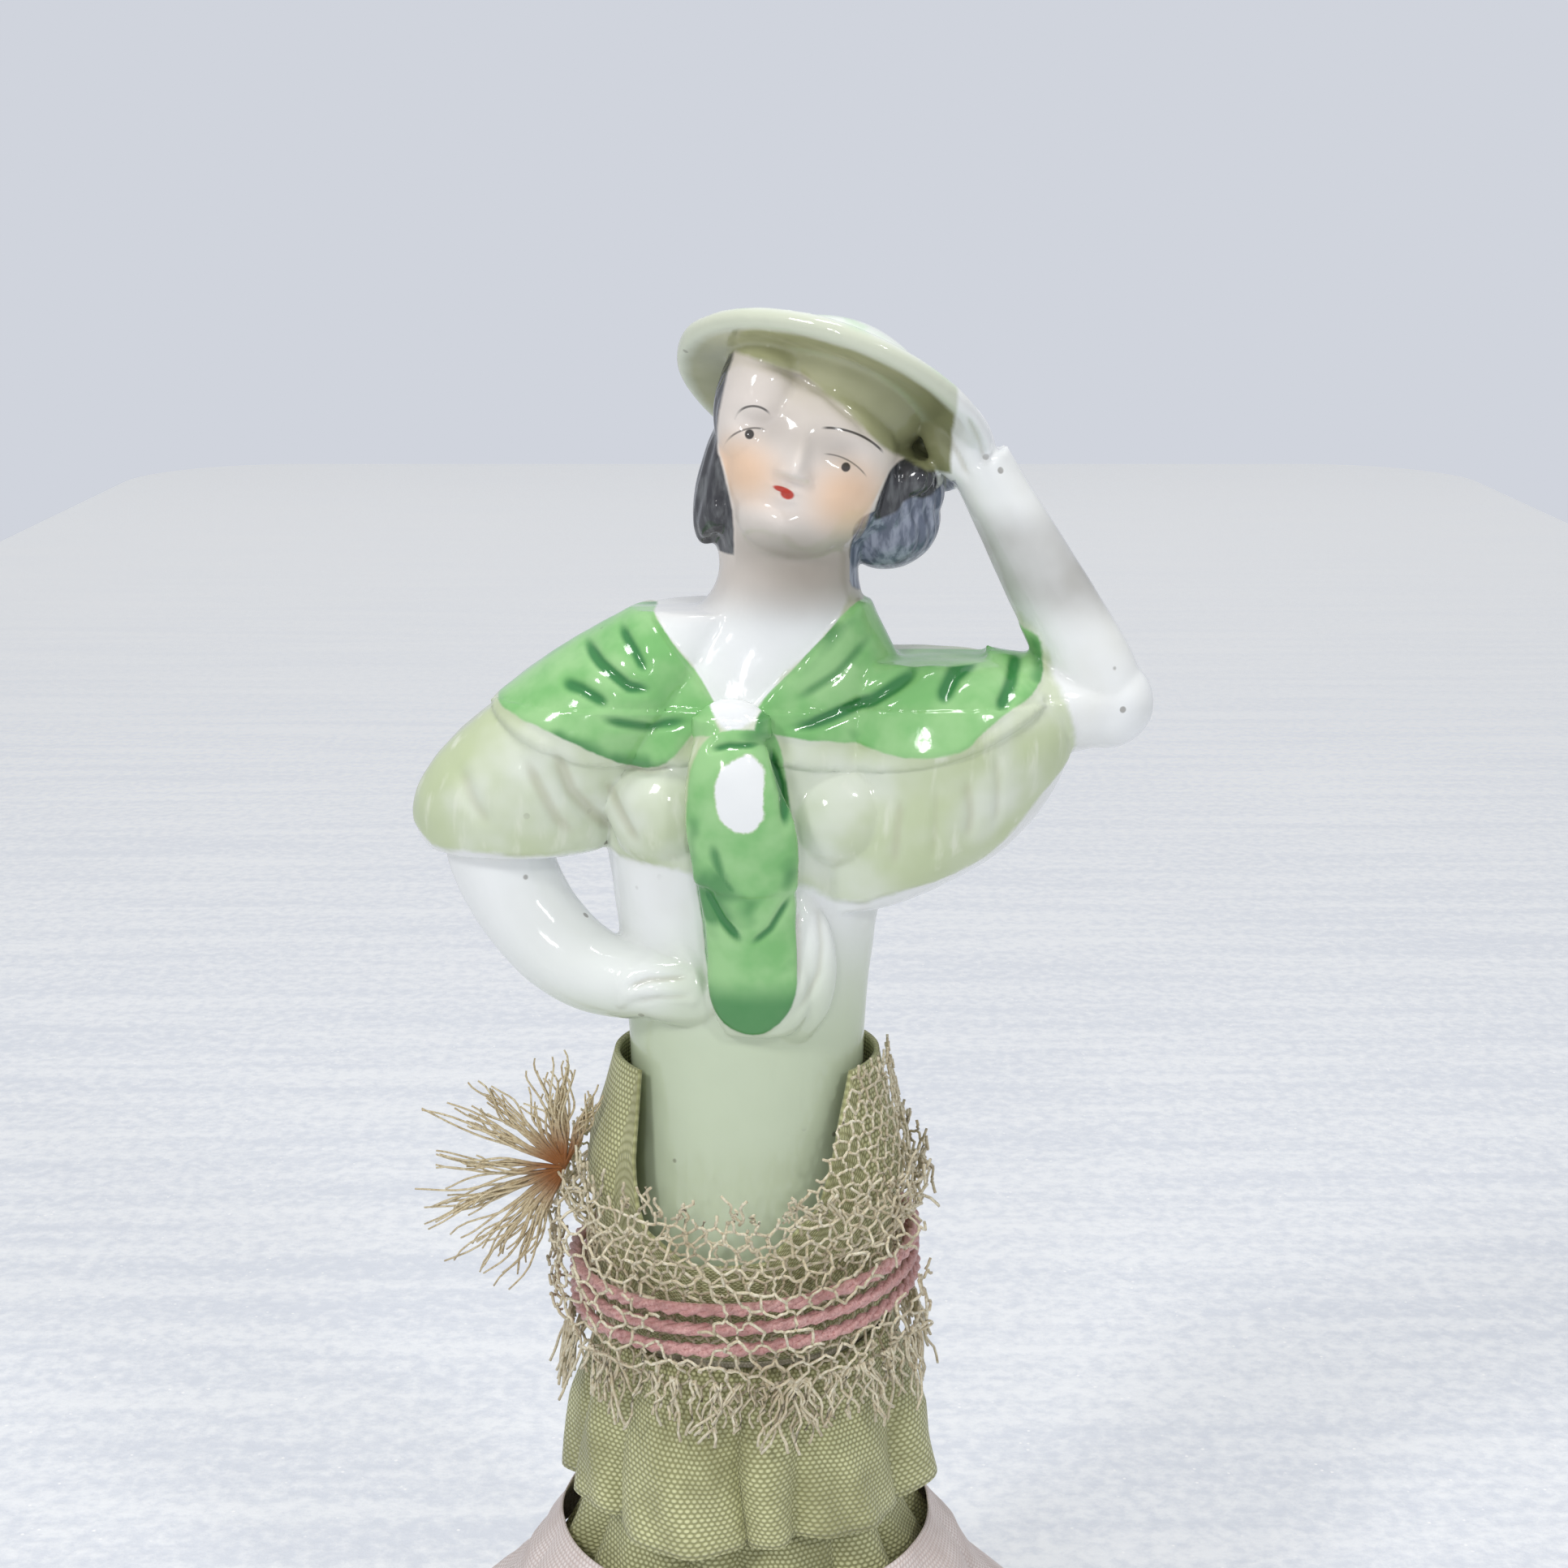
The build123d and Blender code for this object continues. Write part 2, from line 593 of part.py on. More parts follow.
# ---- Ribbon tiers and gauze ---------------------------------------------------------------
# Each tier is drawn in under the one above and hangs over the one below
tier_levels = {
    "ribbon_tier_1": (
        11,
        0.4,
        [
            (neck_height - 0.1, under_gap, gathered_fold),
            (tier_1_shoulder, tier_shoulder_gap, tier_fold / 2),
            (52.2, over_gap, tier_fold),
            (45.0, over_gap + 0.9, tier_fold + 0.2),
        ],
    ),
    "ribbon_tier_2": (
        12,
        2.1,
        [
            (52.0, under_gap, gathered_fold),
            (45.5, under_gap, gathered_fold),
            (42.0, under_gap + 0.6, 1.3),
            (38.0, over_gap, 1.8),
            (35.5, over_gap + 0.3, tier_fold),
        ],
    ),
    "ribbon_tier_3": (
        16,
        3.3,
        [
            (37.6, under_gap, gathered_fold),
            (34.8, under_gap + 0.1, gathered_fold),
            (30.0, under_gap + 0.4, 1.2),
            (24.0, under_gap + 0.6, 1.4),
            (21.4, over_gap + 0.2, 1.6),
            (17.0, over_gap + 0.5, 1.8),
        ],
    ),
    "ribbon_tier_4": (
        20,
        5.0,
        [
            (20.6, under_gap, gathered_fold),
            (17.2, under_gap + 0.1, gathered_fold),
            (14.0, under_gap + 0.5, 1.2),
            (9.0, under_gap + 0.9, tier_fold),
            (2.0, under_gap + 2.0, tier_fold + 1),
        ],
    ),
}
for name, (folds, turn, levels) in tier_levels.items():
    with BuildPart() as tier:
        add(gathered_ring(skirt_stations(levels), folds, ribbon_thickness, turn))
    tier.part.label = name
    export_step(tier.part, f"parts/{name}.step")

gauze_levels = [
    (40.0, 4.9, pinched_fold),
    (35.2, 6.1, 0.6),
    (30.0, 4.6, 1.0),
    (23.0, 4.8, 1.4),
]
with BuildPart() as gauze_underskirt:
    add(gathered_ring(skirt_stations(gauze_levels), 13, gauze_thickness, 1.6))
gauze_underskirt.part.label = "gauze_underskirt"
export_step(gauze_underskirt.part, "parts/gauze_underskirt.step")
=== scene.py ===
import math

import bmesh
import bpy
import numpy as np
from mathutils import Euler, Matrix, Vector


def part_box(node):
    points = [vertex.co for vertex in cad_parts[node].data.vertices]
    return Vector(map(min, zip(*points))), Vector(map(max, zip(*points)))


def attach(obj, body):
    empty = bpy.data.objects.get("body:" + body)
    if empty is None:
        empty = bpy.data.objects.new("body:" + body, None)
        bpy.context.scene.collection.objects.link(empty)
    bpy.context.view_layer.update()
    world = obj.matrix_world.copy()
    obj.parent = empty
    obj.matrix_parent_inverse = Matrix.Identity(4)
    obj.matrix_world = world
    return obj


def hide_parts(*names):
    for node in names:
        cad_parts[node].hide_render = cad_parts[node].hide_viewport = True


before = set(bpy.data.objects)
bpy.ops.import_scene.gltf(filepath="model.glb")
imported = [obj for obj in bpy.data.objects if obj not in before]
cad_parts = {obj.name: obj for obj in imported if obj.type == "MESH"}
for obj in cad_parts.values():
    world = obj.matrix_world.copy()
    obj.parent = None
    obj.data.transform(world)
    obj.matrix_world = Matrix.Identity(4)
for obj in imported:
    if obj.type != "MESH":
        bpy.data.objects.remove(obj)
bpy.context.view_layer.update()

mm = 0.001
scene = bpy.context.scene


def softStep(value, low, high):
    t = np.clip((value - low) / (high - low), 0, 1)
    return t * t * (3 - 2 * t)


def ripple(points, size, seed):
    # smooth wandering noise of about -1 to 1, made of a few crossed waves
    turns = np.random.default_rng(seed)
    total = np.zeros(len(points))
    for _ in range(5):
        direction = turns.normal(size=3)
        direction *= turns.uniform(0.6, 1.5) / np.linalg.norm(direction)
        total += np.sin(points @ direction * (2 * math.pi / size) + turns.uniform(0, 2 * math.pi))
    return total / 3


def polylineDistance(points, line):
    # distance to a bent line in the x-z plane, and how far along it, from 0 to 1
    line = np.array(line, float)
    lengths = np.linalg.norm(np.diff(line, axis=0), axis=1)
    reached = np.concatenate([[0], np.cumsum(lengths)]) / lengths.sum()
    best = np.full(len(points), 1e9)
    along = np.zeros(len(points))
    for index, length in enumerate(lengths):
        start, end = line[index], line[index + 1]
        t = np.clip(((points - start) @ (end - start)) / length**2, 0, 1)
        gap = np.linalg.norm(points - (start + t[:, None] * (end - start)), axis=1)
        nearer = gap < best
        best[nearer] = gap[nearer]
        share = reached[index] + t * (reached[index + 1] - reached[index])
        along[nearer] = share[nearer]
    return best, along


def outlineDistance(points, outline):
    # signed distance to a closed outline in the x-z plane, positive inside
    outline = np.array(outline, float)
    gap, _ = polylineDistance(points, np.vstack([outline, outline[:1]]))
    inside = np.zeros(len(points), bool)
    for (x1, z1), (x2, z2) in zip(outline, np.roll(outline, -1, axis=0)):
        crosses = (z1 > points[:, 1]) != (z2 > points[:, 1])
        reach = x1 + (points[:, 1] - z1) * (x2 - x1) / (z2 - z1 + 1e-12)
        inside ^= crosses & (points[:, 0] < reach)
    return np.where(inside, gap, -gap)


def rounded(corners, rounds=2):
    # cuts the corners of a closed outline, so that a few points give a soft shape
    line = np.array(corners, float)
    for _ in range(rounds):
        following = np.roll(line, -1, axis=0)
        line = np.stack([0.75 * line + 0.25 * following, 0.25 * line + 0.75 * following], 1)
        line = line.reshape(-1, 2)
    return line


def addPiece(name, mesh, node=None):
    piece = bpy.data.objects.new(name, mesh)
    scene.collection.objects.link(piece)
    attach(piece, "root")
    if node:
        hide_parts(*([node] if isinstance(node, str) else node))
    return piece


def meshFrom(name, points, faces, smooth=True):
    # points in millimetres
    mesh = bpy.data.meshes.new(name)
    mesh.from_pydata((np.array(points) * mm).tolist(), [], [list(f) for f in faces])
    mesh.validate()
    if smooth:
        mesh.shade_smooth()
    return mesh


def newMaterial(name):
    material = bpy.data.materials.new(name)
    material.use_nodes = True
    tree = material.node_tree
    return material, tree, tree.nodes["Principled BSDF"]


def put(tree, kind, settings=None, **inputs):
    # adds a node; inputs are sockets to link or plain values, by name, or in0, in1 by place
    node = tree.nodes.new(kind)
    for key, value in (settings or {}).items():
        setattr(node, key, value)
    for key, value in inputs.items():
        place = int(key[2:]) if key.startswith("in") and key[2:].isdigit() else key.replace("_", " ")
        if isinstance(value, bpy.types.NodeSocket):
            tree.links.new(value, node.inputs[place])
        else:
            node.inputs[place].default_value = value
    return node


def math2(tree, operation, a, b=0.0):
    return put(tree, "ShaderNodeMath", {"operation": operation}, in0=a, in1=b).outputs[0]


def times(tree, first, *others):
    # the product of sockets and numbers
    for other in others:
        first = math2(tree, "MULTIPLY", first, other)
    return first


def blend(tree, factor, a, b):
    # colour b over colour a
    node = put(tree, "ShaderNodeMix", {"data_type": "RGBA"}, in0=factor)
    for place, value in ((6, a), (7, b)):
        if isinstance(value, bpy.types.NodeSocket):
            tree.links.new(value, node.inputs[place])
        else:
            node.inputs[place].default_value = value
    return node.outputs[2]


def ramp(tree, value, low, high, toLow=0.0, toHigh=1.0):
    # a soft step from low to high; low may be the larger
    return put(tree, "ShaderNodeMapRange", {"interpolation_type": "SMOOTHSTEP"}, Value=value,
               From_Min=low, From_Max=high, To_Min=toLow, To_Max=toHigh).outputs[0]


def noise(tree, place, size, detail=2.0, rough=0.5):
    # size in millimetres; place is a position in metres
    return put(tree, "ShaderNodeTexNoise", None, Vector=place, Scale=1 / (size * mm),
               Detail=detail, Roughness=rough).outputs["Fac"]


def position(tree):
    return put(tree, "ShaderNodeTexCoord").outputs["Object"]


def rgb(red, green, blue):
    # 0 to 255 as seen on screen, to linear
    return tuple(((c / 255 + 0.055) / 1.055) ** 2.4 if c > 10 else c / 255 / 12.92
                 for c in (red, green, blue)) + (1.0,)


def floatSockets(**starts):
    return [(label.replace("_", " "), "NodeSocketFloat", start) for label, start in starts.items()]


def newGroup(name, inputs, outputs):
    group = bpy.data.node_groups.new(name, "ShaderNodeTree")
    for label, kind, value in inputs:
        socket = group.interface.new_socket(label, in_out="INPUT", socket_type=kind)
        if value is not None:
            socket.default_value = value
    for label in outputs:
        group.interface.new_socket(label, in_out="OUTPUT", socket_type="NodeSocketFloat")
    return group, group.nodes.new("NodeGroupInput"), group.nodes.new("NodeGroupOutput")


def useGroup(tree, group, **inputs):
    return put(tree, "ShaderNodeGroup", {"node_tree": group}, **inputs)


studio = {
    "aim": (3.8, 0.0, 113.5),
    "distance": 230.0,
    "pitch": 14.0,
    "viewAngle": 35.0,
}


def setCamera():
    camera = bpy.data.objects.new("camera", bpy.data.cameras.new("camera"))
    scene.collection.objects.link(camera)
    tilt = math.radians(studio["pitch"])
    aim = np.array(studio["aim"])
    back = np.array([0, -math.cos(tilt), math.sin(tilt)]) * studio["distance"]
    camera.location = (aim + back) * mm
    camera.rotation_euler = (math.pi / 2 - tilt, 0, 0)
    camera.data.sensor_width = 36
    camera.data.lens = 18 / math.tan(math.radians(studio["viewAngle"] / 2))
    camera.data.clip_start = 0.005
    scene.camera = camera


def addLamp(name, place, aim, size, power, ratio):
    data = bpy.data.lights.new(name, "AREA")
    data.shape = "RECTANGLE"
    data.size = size * mm
    data.size_y = size * ratio * mm
    data.energy = power
    lamp = bpy.data.objects.new(name, data)
    scene.collection.objects.link(lamp)
    lamp.location = np.array(place) * mm
    way = np.array(aim, float) - np.array(place, float)
    lamp.rotation_euler = Vector(way).to_track_quat("-Z", "Y").to_euler()


lamps = {
    # place, width, watts, height over width
    "windowLeft": ((-430, -520, 640), 110, 1.9, 1.5),
    "windowRight": ((400, -560, 560), 80, 0.9, 1.3),
    "ceilingPanel": ((40, -60, 960), 300, 3.2, 0.6),
    "lowGlint": ((-120, -620, 330), 40, 0.35, 2.0),
}


def setLights():
    for name, (place, size, power, ratio) in lamps.items():
        addLamp(name, place, studio["aim"], size, power, ratio)
    world = bpy.data.worlds.new("studioAir")
    scene.world = world
    world.use_nodes = True
    tree = world.node_tree
    tree.nodes.clear()
    ray = put(tree, "ShaderNodeLightPath")
    seen = math2(tree, "MAXIMUM", ray.outputs["Is Camera Ray"], ray.outputs["Is Glossy Ray"])
    seen = math2(tree, "MAXIMUM", seen, ray.outputs["Is Transmission Ray"])
    lighting = put(tree, "ShaderNodeBackground", None, Color=(0.95, 0.97, 1.0, 1), Strength=0.46)
    backdrop = put(tree, "ShaderNodeBackground", None, Color=rgb(208, 212, 221), Strength=1.0)
    mixed = put(tree, "ShaderNodeMixShader", None, in0=seen, in1=lighting.outputs[0],
                in2=backdrop.outputs[0])
    out = put(tree, "ShaderNodeOutputWorld")
    tree.links.new(mixed.outputs[0], out.inputs[0])


tableTop = {"left": -362.0, "right": 388.0, "front": -900.0, "back": 1229.0, "corner": 85.0, "drop": 16.0,
            "edge": 5.0}


def tableOutline(inset):
    # the pad's outline, its far corners rounded
    t = tableTop
    radius = t["corner"] - inset
    corners = []
    for middle, start in ((t["right"] - t["corner"], 0), (t["left"] + t["corner"], 90)):
        for step in range(13):
            turn = math.radians(start + 90 * step / 12)
            corners.append((middle + radius * math.cos(turn),
                            t["back"] - t["corner"] + radius * math.sin(turn)))
    corners.append((t["left"] + inset, t["front"]))
    corners.append((t["right"] - inset, t["front"]))
    return corners


def buildTable():
    # a white foam pad with a soft edge
    edge = tableTop["edge"]
    rings = []
    for step in range(7):
        turn = math.radians(15 * step)
        rings.append((edge * (1 - math.sin(turn)), -edge * (1 - math.cos(turn))))
    rings.append((0.0, -tableTop["drop"]))
    points, faces = [], []
    for inset, height in rings:
        points += [(x, y, height) for x, y in tableOutline(inset)]
    count = len(points) // len(rings)
    faces.append(list(range(count)))
    for ring in range(len(rings) - 1):
        for index in range(count):
            following = (index + 1) % count
            faces.append([ring * count + index, (ring + 1) * count + index, (ring + 1) * count + following,
                          ring * count + following])
    mesh = meshFrom("tableTop", points, faces, smooth=False)
    floor = bpy.data.objects.new("tableTop", mesh)
    scene.collection.objects.link(floor)
    material, tree, shader = newMaterial("foamSheet")
    place = position(tree)
    streak = put(tree, "ShaderNodeMapping", None, Vector=place, Scale=(5, 70, 1)).outputs[0]
    cells = noise(tree, place, 2.4, 5, 0.65)
    bands = put(tree, "ShaderNodeTexNoise", None, Vector=streak, Scale=2.0, Detail=3.0).outputs["Fac"]
    grain = math2(tree, "ADD", times(tree, cells, 0.62), times(tree, bands, 0.38))
    # the far end takes less of the lamps, so the pad is a little whiter there
    away = put(tree, "ShaderNodeSeparateXYZ", None, Vector=place).outputs["Y"]
    near = blend(tree, ramp(tree, grain, 0.38, 0.62), rgb(222, 226, 234), rgb(242, 244, 247))
    far = blend(tree, ramp(tree, grain, 0.38, 0.62), rgb(252, 253, 255), rgb(255, 255, 255))
    colour = blend(tree, ramp(tree, away, 0.0, 1.1), near, far)
    sparkle = put(tree, "ShaderNodeTexVoronoi", None, Vector=place, Scale=520.0)
    glints = ramp(tree, sparkle.outputs["Distance"], 0.07, 0.16, 1.0, 0.0)
    chosen = ramp(tree, noise(tree, place, 5, 2), 0.5, 0.62)
    colour = blend(tree, times(tree, glints, chosen), colour, (1, 1, 1, 1))
    tree.links.new(colour, shader.inputs["Base Color"])
    shader.inputs["Roughness"].default_value = 0.7
    shader.inputs["Specular IOR Level"].default_value = 0.25
    # the far end keeps the pad's paleness on camera without more light on the object
    seen = put(tree, "ShaderNodeLightPath").outputs["Is Camera Ray"]
    shader.inputs["Emission Color"].default_value = (0.93, 0.96, 1.0, 1)
    tree.links.new(times(tree, seen, ramp(tree, away, 0.05, 1.1, 0.02, 0.17)),
                   shader.inputs["Emission Strength"])
    bump = put(tree, "ShaderNodeBump", None, Height=cells, Strength=0.4, Distance=0.7 * mm)
    tree.links.new(bump.outputs[0], shader.inputs["Normal"])
    floor.data.materials.append(material)


setCamera()
setLights()
buildTable()
scene.view_settings.view_transform = "Standard"
print("studio ready")


doll = {
    "voxel": 0.27,
    "softening": 7,
    "faceMiddle": (4.95, 145.05),
    "faceRight": (0.959, -0.284),
    "faceUp": (0.284, 0.959),
    "hatMiddle": (8.4, 1.6, 148.6),
    "hatTurn": (-31.0, 19.5, 0.0),
    "kerchiefStands": 0.25,
    "sides": (-30.6, 38.0),
}

# soft lumps pressed on before the surface is smoothed: centre, half sizes, tilt to the side in degrees
clayLumps = [
    ((1.7, -1.2, 148.8), (4.0, 6.0, 6.6), 15),
    ((14.6, 2.0, 140.6), (3.9, 4.2, 3.9), -30),
    ((15.4, -1.4, 142.0), (1.9, 2.4, 1.6), -20),
    ((-1.9, -0.6, 139.6), (2.1, 3.6, 3.0), 15),
]

# painted and modelled places on the doll's front, as x and height in millimetres
dollPlaces = {
    "kerchiefLeft": [
        (-9.5, 132.6), (-6.4, 128.1), (-3.8, 125.0), (-2.1, 122.0), (-1.5, 120.6), (-3.9, 120.4),
        (-5.6, 118.2),
        (-7.4, 117.0), (-10.0, 117.0), (-12.6, 118.2), (-16.9, 120.2), (-23.6, 122.2), (-21.0, 127.5),
        (-14.0, 132.5),
    ],
    "kerchiefRight": [
        (9.8, 131.2), (14.0, 131.0), (20.0, 130.0), (26.4, 128.5), (27.4, 126.5), (27.2, 123.4),
        (23.4, 121.7),
        (21.3, 120.2), (20.0, 118.8), (17.8, 118.2), (14.3, 117.9), (11.3, 118.8), (8.3, 119.3),
        (4.8, 119.6),
        (2.2, 120.2), (0.5, 121.1), (3.1, 124.2), (6.9, 127.7),
    ],
    "tie": [
        (-2.1, 121.3), (2.0, 121.3), (3.5, 119.5), (4.1, 114.7), (4.8, 110.7), (4.7, 106.6), (5.0, 103.9),
        (5.1, 96.6), (3.5, 93.8), (1.3, 92.4), (-1.4, 93.3), (-3.1, 96.1), (-3.6, 103.0), (-4.3, 107.5),
        (-4.6, 112.9), (-4.2, 118.2),
    ],
    "wornPatch": [
        (-1.2, 118.8), (0.9, 119.2), (2.0, 117.5), (2.0, 113.5), (0.5, 112.1), (-1.2, 113.0), (-2.1, 114.4),
        (-2.1, 117.5),
    ],
    "blouse": [
        (-32.0, 108.9), (-21.7, 108.7), (-12.8, 108.2), (-4.5, 107.5), (0.0, 106.0), (5.2, 106.8),
        (7.9, 104.5),
        (11.0, 104.1), (12.8, 105.0), (20.3, 106.8), (24.6, 110.0), (26.7, 113.7), (30.4, 116.8),
        (30.1, 120.0),
        (28.7, 122.7), (27.2, 127.2), (24.0, 131.0), (12.0, 131.5), (-9.0, 134.0), (-32.0, 134.0),
    ],
    "face": [
        (-0.3, 155.5), (7.3, 151.5), (12.8, 146.0), (13.4, 143.4), (12.2, 141.4), (11.0, 138.2),
        (10.4, 130.0),
        (-1.6, 130.0), (-0.3, 137.2), (-1.5, 143.4), (-2.3, 145.1), (-1.5, 150.0), (-0.4, 153.4),
    ],
    "underBrim": [
        (-0.6, 153.3), (3.6, 152.3), (7.3, 150.3), (10.2, 147.9), (12.3, 145.2), (14.9, 143.5),
        (17.0, 142.6),
        (24.0, 142.0), (24.0, 162.0), (-12.0, 162.0), (-4.2, 154.4), (-2.0, 153.4),
    ],
    "neckOpening": [
        (-9.0, 131.4), (-6.4, 128.1), (-3.8, 125.0), (-1.5, 120.9), (0.5, 121.1), (3.1, 124.2), (6.9, 127.7),
        (9.8, 131.2), (9.8, 140.0), (-9.0, 140.0),
    ],
    "blackCurl": [
        (11.4, 138.2), (12.4, 141.6), (13.4, 143.4), (15.2, 144.0), (17.2, 143.0), (17.8, 141.2),
        (16.6, 140.0),
        (14.8, 140.6), (13.7, 139.0),
    ],
    "bun": [
        (9.9, 139.0), (12.4, 139.6), (14.4, 140.6), (16.6, 140.4), (20.2, 142.6), (22.0, 138.5),
        (18.0, 132.5),
        (12.0, 131.0), (9.4, 132.5), (9.8, 136.0),
    ],
    "leftHand": [(-11.6, 94.0), (-11.1, 97.7), (-6.7, 100.1), (-4.0, 99.6), (-3.6, 94.9), (-5.8, 95.4),
                 (-9.4, 96.3)],
}

# creases: points, half width, depth
creases = [
    ([(-14.6, 128.1), (-12.5, 126.1), (-9.9, 124.2), (-7.3, 123.9)], 0.55, 0.42),
    ([(-11.1, 129.4), (-9.4, 127.2), (-8.2, 125.0)], 0.5, 0.35),
    ([(-16.4, 124.4), (-14.2, 123.9), (-11.2, 122.4)], 0.6, 0.35),
    ([(-13.2, 121.6), (-8.0, 120.6), (-3.4, 121.4)], 0.55, 0.3),
    ([(16.4, 126.8), (15.1, 125.0), (11.7, 122.8), (6.1, 120.9), (3.0, 120.6)], 0.6, 0.55),
    ([(17.3, 122.4), (19.0, 125.0), (22.0, 126.8)], 0.8, 0.4),
    ([(22.5, 121.5), (24.2, 124.2), (25.4, 126.8)], 0.7, 0.35),
    ([(4.0, 122.6), (8.5, 125.2), (12.4, 129.0)], 0.6, 0.22),
    ([(-19.5, 118.4), (-18.3, 115.7), (-16.6, 112.1), (-14.5, 109.4)], 0.7, 0.35),
    ([(-16.9, 119.7), (-15.3, 114.8), (-12.7, 111.2), (-10.6, 108.9)], 0.7, 0.5),
    ([(-12.6, 116.0), (-10.9, 112.8), (-8.8, 109.2)], 0.6, 0.35),
    ([(-25.4, 116.8), (-24.0, 113.6), (-22.0, 111.0)], 0.8, 0.25),
    ([(14.3, 115.1), (13.9, 110.6), (13.6, 106.9)], 0.6, 0.28),
    ([(17.4, 116.4), (17.3, 111.2), (16.9, 107.4)], 0.5, 0.2),
    ([(19.9, 116.8), (20.5, 112.8), (20.1, 109.7)], 0.6, 0.28),
    ([(22.6, 118.8), (22.9, 114.4), (22.8, 110.8)], 0.5, 0.22),
    ([(-3.6, 107.4), (-1.7, 103.9), (0.4, 101.2)], 0.5, 0.5),
    ([(0.4, 101.2), (2.6, 103.0), (4.7, 106.6)], 0.4, 0.3),
    ([(2.4, 119.5), (3.5, 115.6), (3.8, 112.0)], 0.4, 0.4),
    ([(-2.9, 119.4), (-1.0, 119.9), (2.2, 119.8)], 0.35, 0.3),
    ([(-2.6, 112.0), (-1.6, 108.0), (0.2, 105.4)], 0.6, 0.25),
    ([(-4.6, 112.9), (-4.2, 107.5), (-3.5, 103.0), (-3.1, 96.1)], 0.35, 0.3),
    ([(5.1, 105.0), (5.3, 101.0), (5.2, 96.6)], 0.35, 0.3),
    ([(5.1, 105.0), (7.0, 103.6), (7.3, 100.8), (7.0, 98.1), (5.7, 95.7), (3.9, 93.4)], 0.45, 0.25),
    ([(-10.9, 96.3), (-8.4, 97.3), (-4.2, 97.6)], 0.35, 0.35),
    ([(-10.2, 94.9), (-7.6, 95.8), (-4.0, 96.0)], 0.3, 0.25),
    ([(-11.4, 117.0), (-8.4, 116.4), (-5.2, 117.6)], 0.4, 0.25),
    ([(-0.4, 152.9), (3.6, 152.0), (7.3, 150.0), (10.2, 147.6), (12.4, 144.8)], 0.45, 0.35),
    ([(17.6, 146.8), (19.2, 144.2), (20.4, 141.6)], 0.35, 0.35),
    ([(19.2, 148.6), (20.8, 145.6), (22.0, 142.8)], 0.35, 0.3),
    ([(21.0, 149.0), (22.4, 146.4), (23.2, 144.0)], 0.3, 0.25),
]


def faceShape(points):
    # how far the face stands out, in millimetres, over its own right and up
    offset = points[:, [0, 2]] - np.array(doll["faceMiddle"])
    u = offset @ np.array(doll["faceRight"])
    v = offset @ np.array(doll["faceUp"])

    def hill(cu, cv, wide, tall, height):
        return height * np.exp(-((u - cu) / wide) ** 2 - ((v - cv) / tall) ** 2)

    bridge = softStep(v, 4.8, -1.2) * softStep(v, -2.75, -1.75)
    nose = (0.25 + 1.45 * softStep(v, 3.4,
                                   -1.6)) * bridge * np.exp(-((u - 0.18) / (0.75 + 0.35
                                                                            * softStep(v, 1.5, -1.8))) ** 2)
    nose += hill(-0.95, -1.85, 0.5, 0.45, 0.45) + hill(1.3, -1.85, 0.5, 0.45, 0.45)
    sockets = hill(-4.3, 0.9, 2.0, 1.25, -0.75) + hill(4.4, 0.7, 2.2, 1.35, -0.75)
    lids = hill(-4.35, 0.1, 1.35, 0.7, 0.42) + hill(4.4, -0.1, 1.35, 0.7, 0.42)
    brows = hill(-4.0, 2.6, 2.2, 0.8, 0.22) + hill(4.4, 2.5, 2.4, 0.8, 0.22)
    cheeks = hill(-4.1, -3.0, 2.3, 2.1, 0.55) + hill(4.9, -2.7, 2.3, 2.1, 0.5)
    lips = hill(-0.1, -3.4, 1.2, 0.4, 0.4) + hill(0.1, -4.15, 0.9, 0.38, 0.4)
    lips += hill(0.1, -3.78, 1.2, 0.16, -0.22) + hill(0.1, -5.1, 1.5, 0.45, -0.35)
    philtrum = hill(0.15, -2.75, 0.4, 0.5, -0.12)
    chin = hill(0.3, -6.5, 1.9, 1.5, 0.75)
    onFace = softStep(points[:, 1], 0.5, -2.0) * softStep(np.hypot(u / 8.2, (v + 1) / 9.4), 1.08, 0.92)
    return (nose + sockets + lids + brows + cheeks + lips + philtrum + chin) * onFace


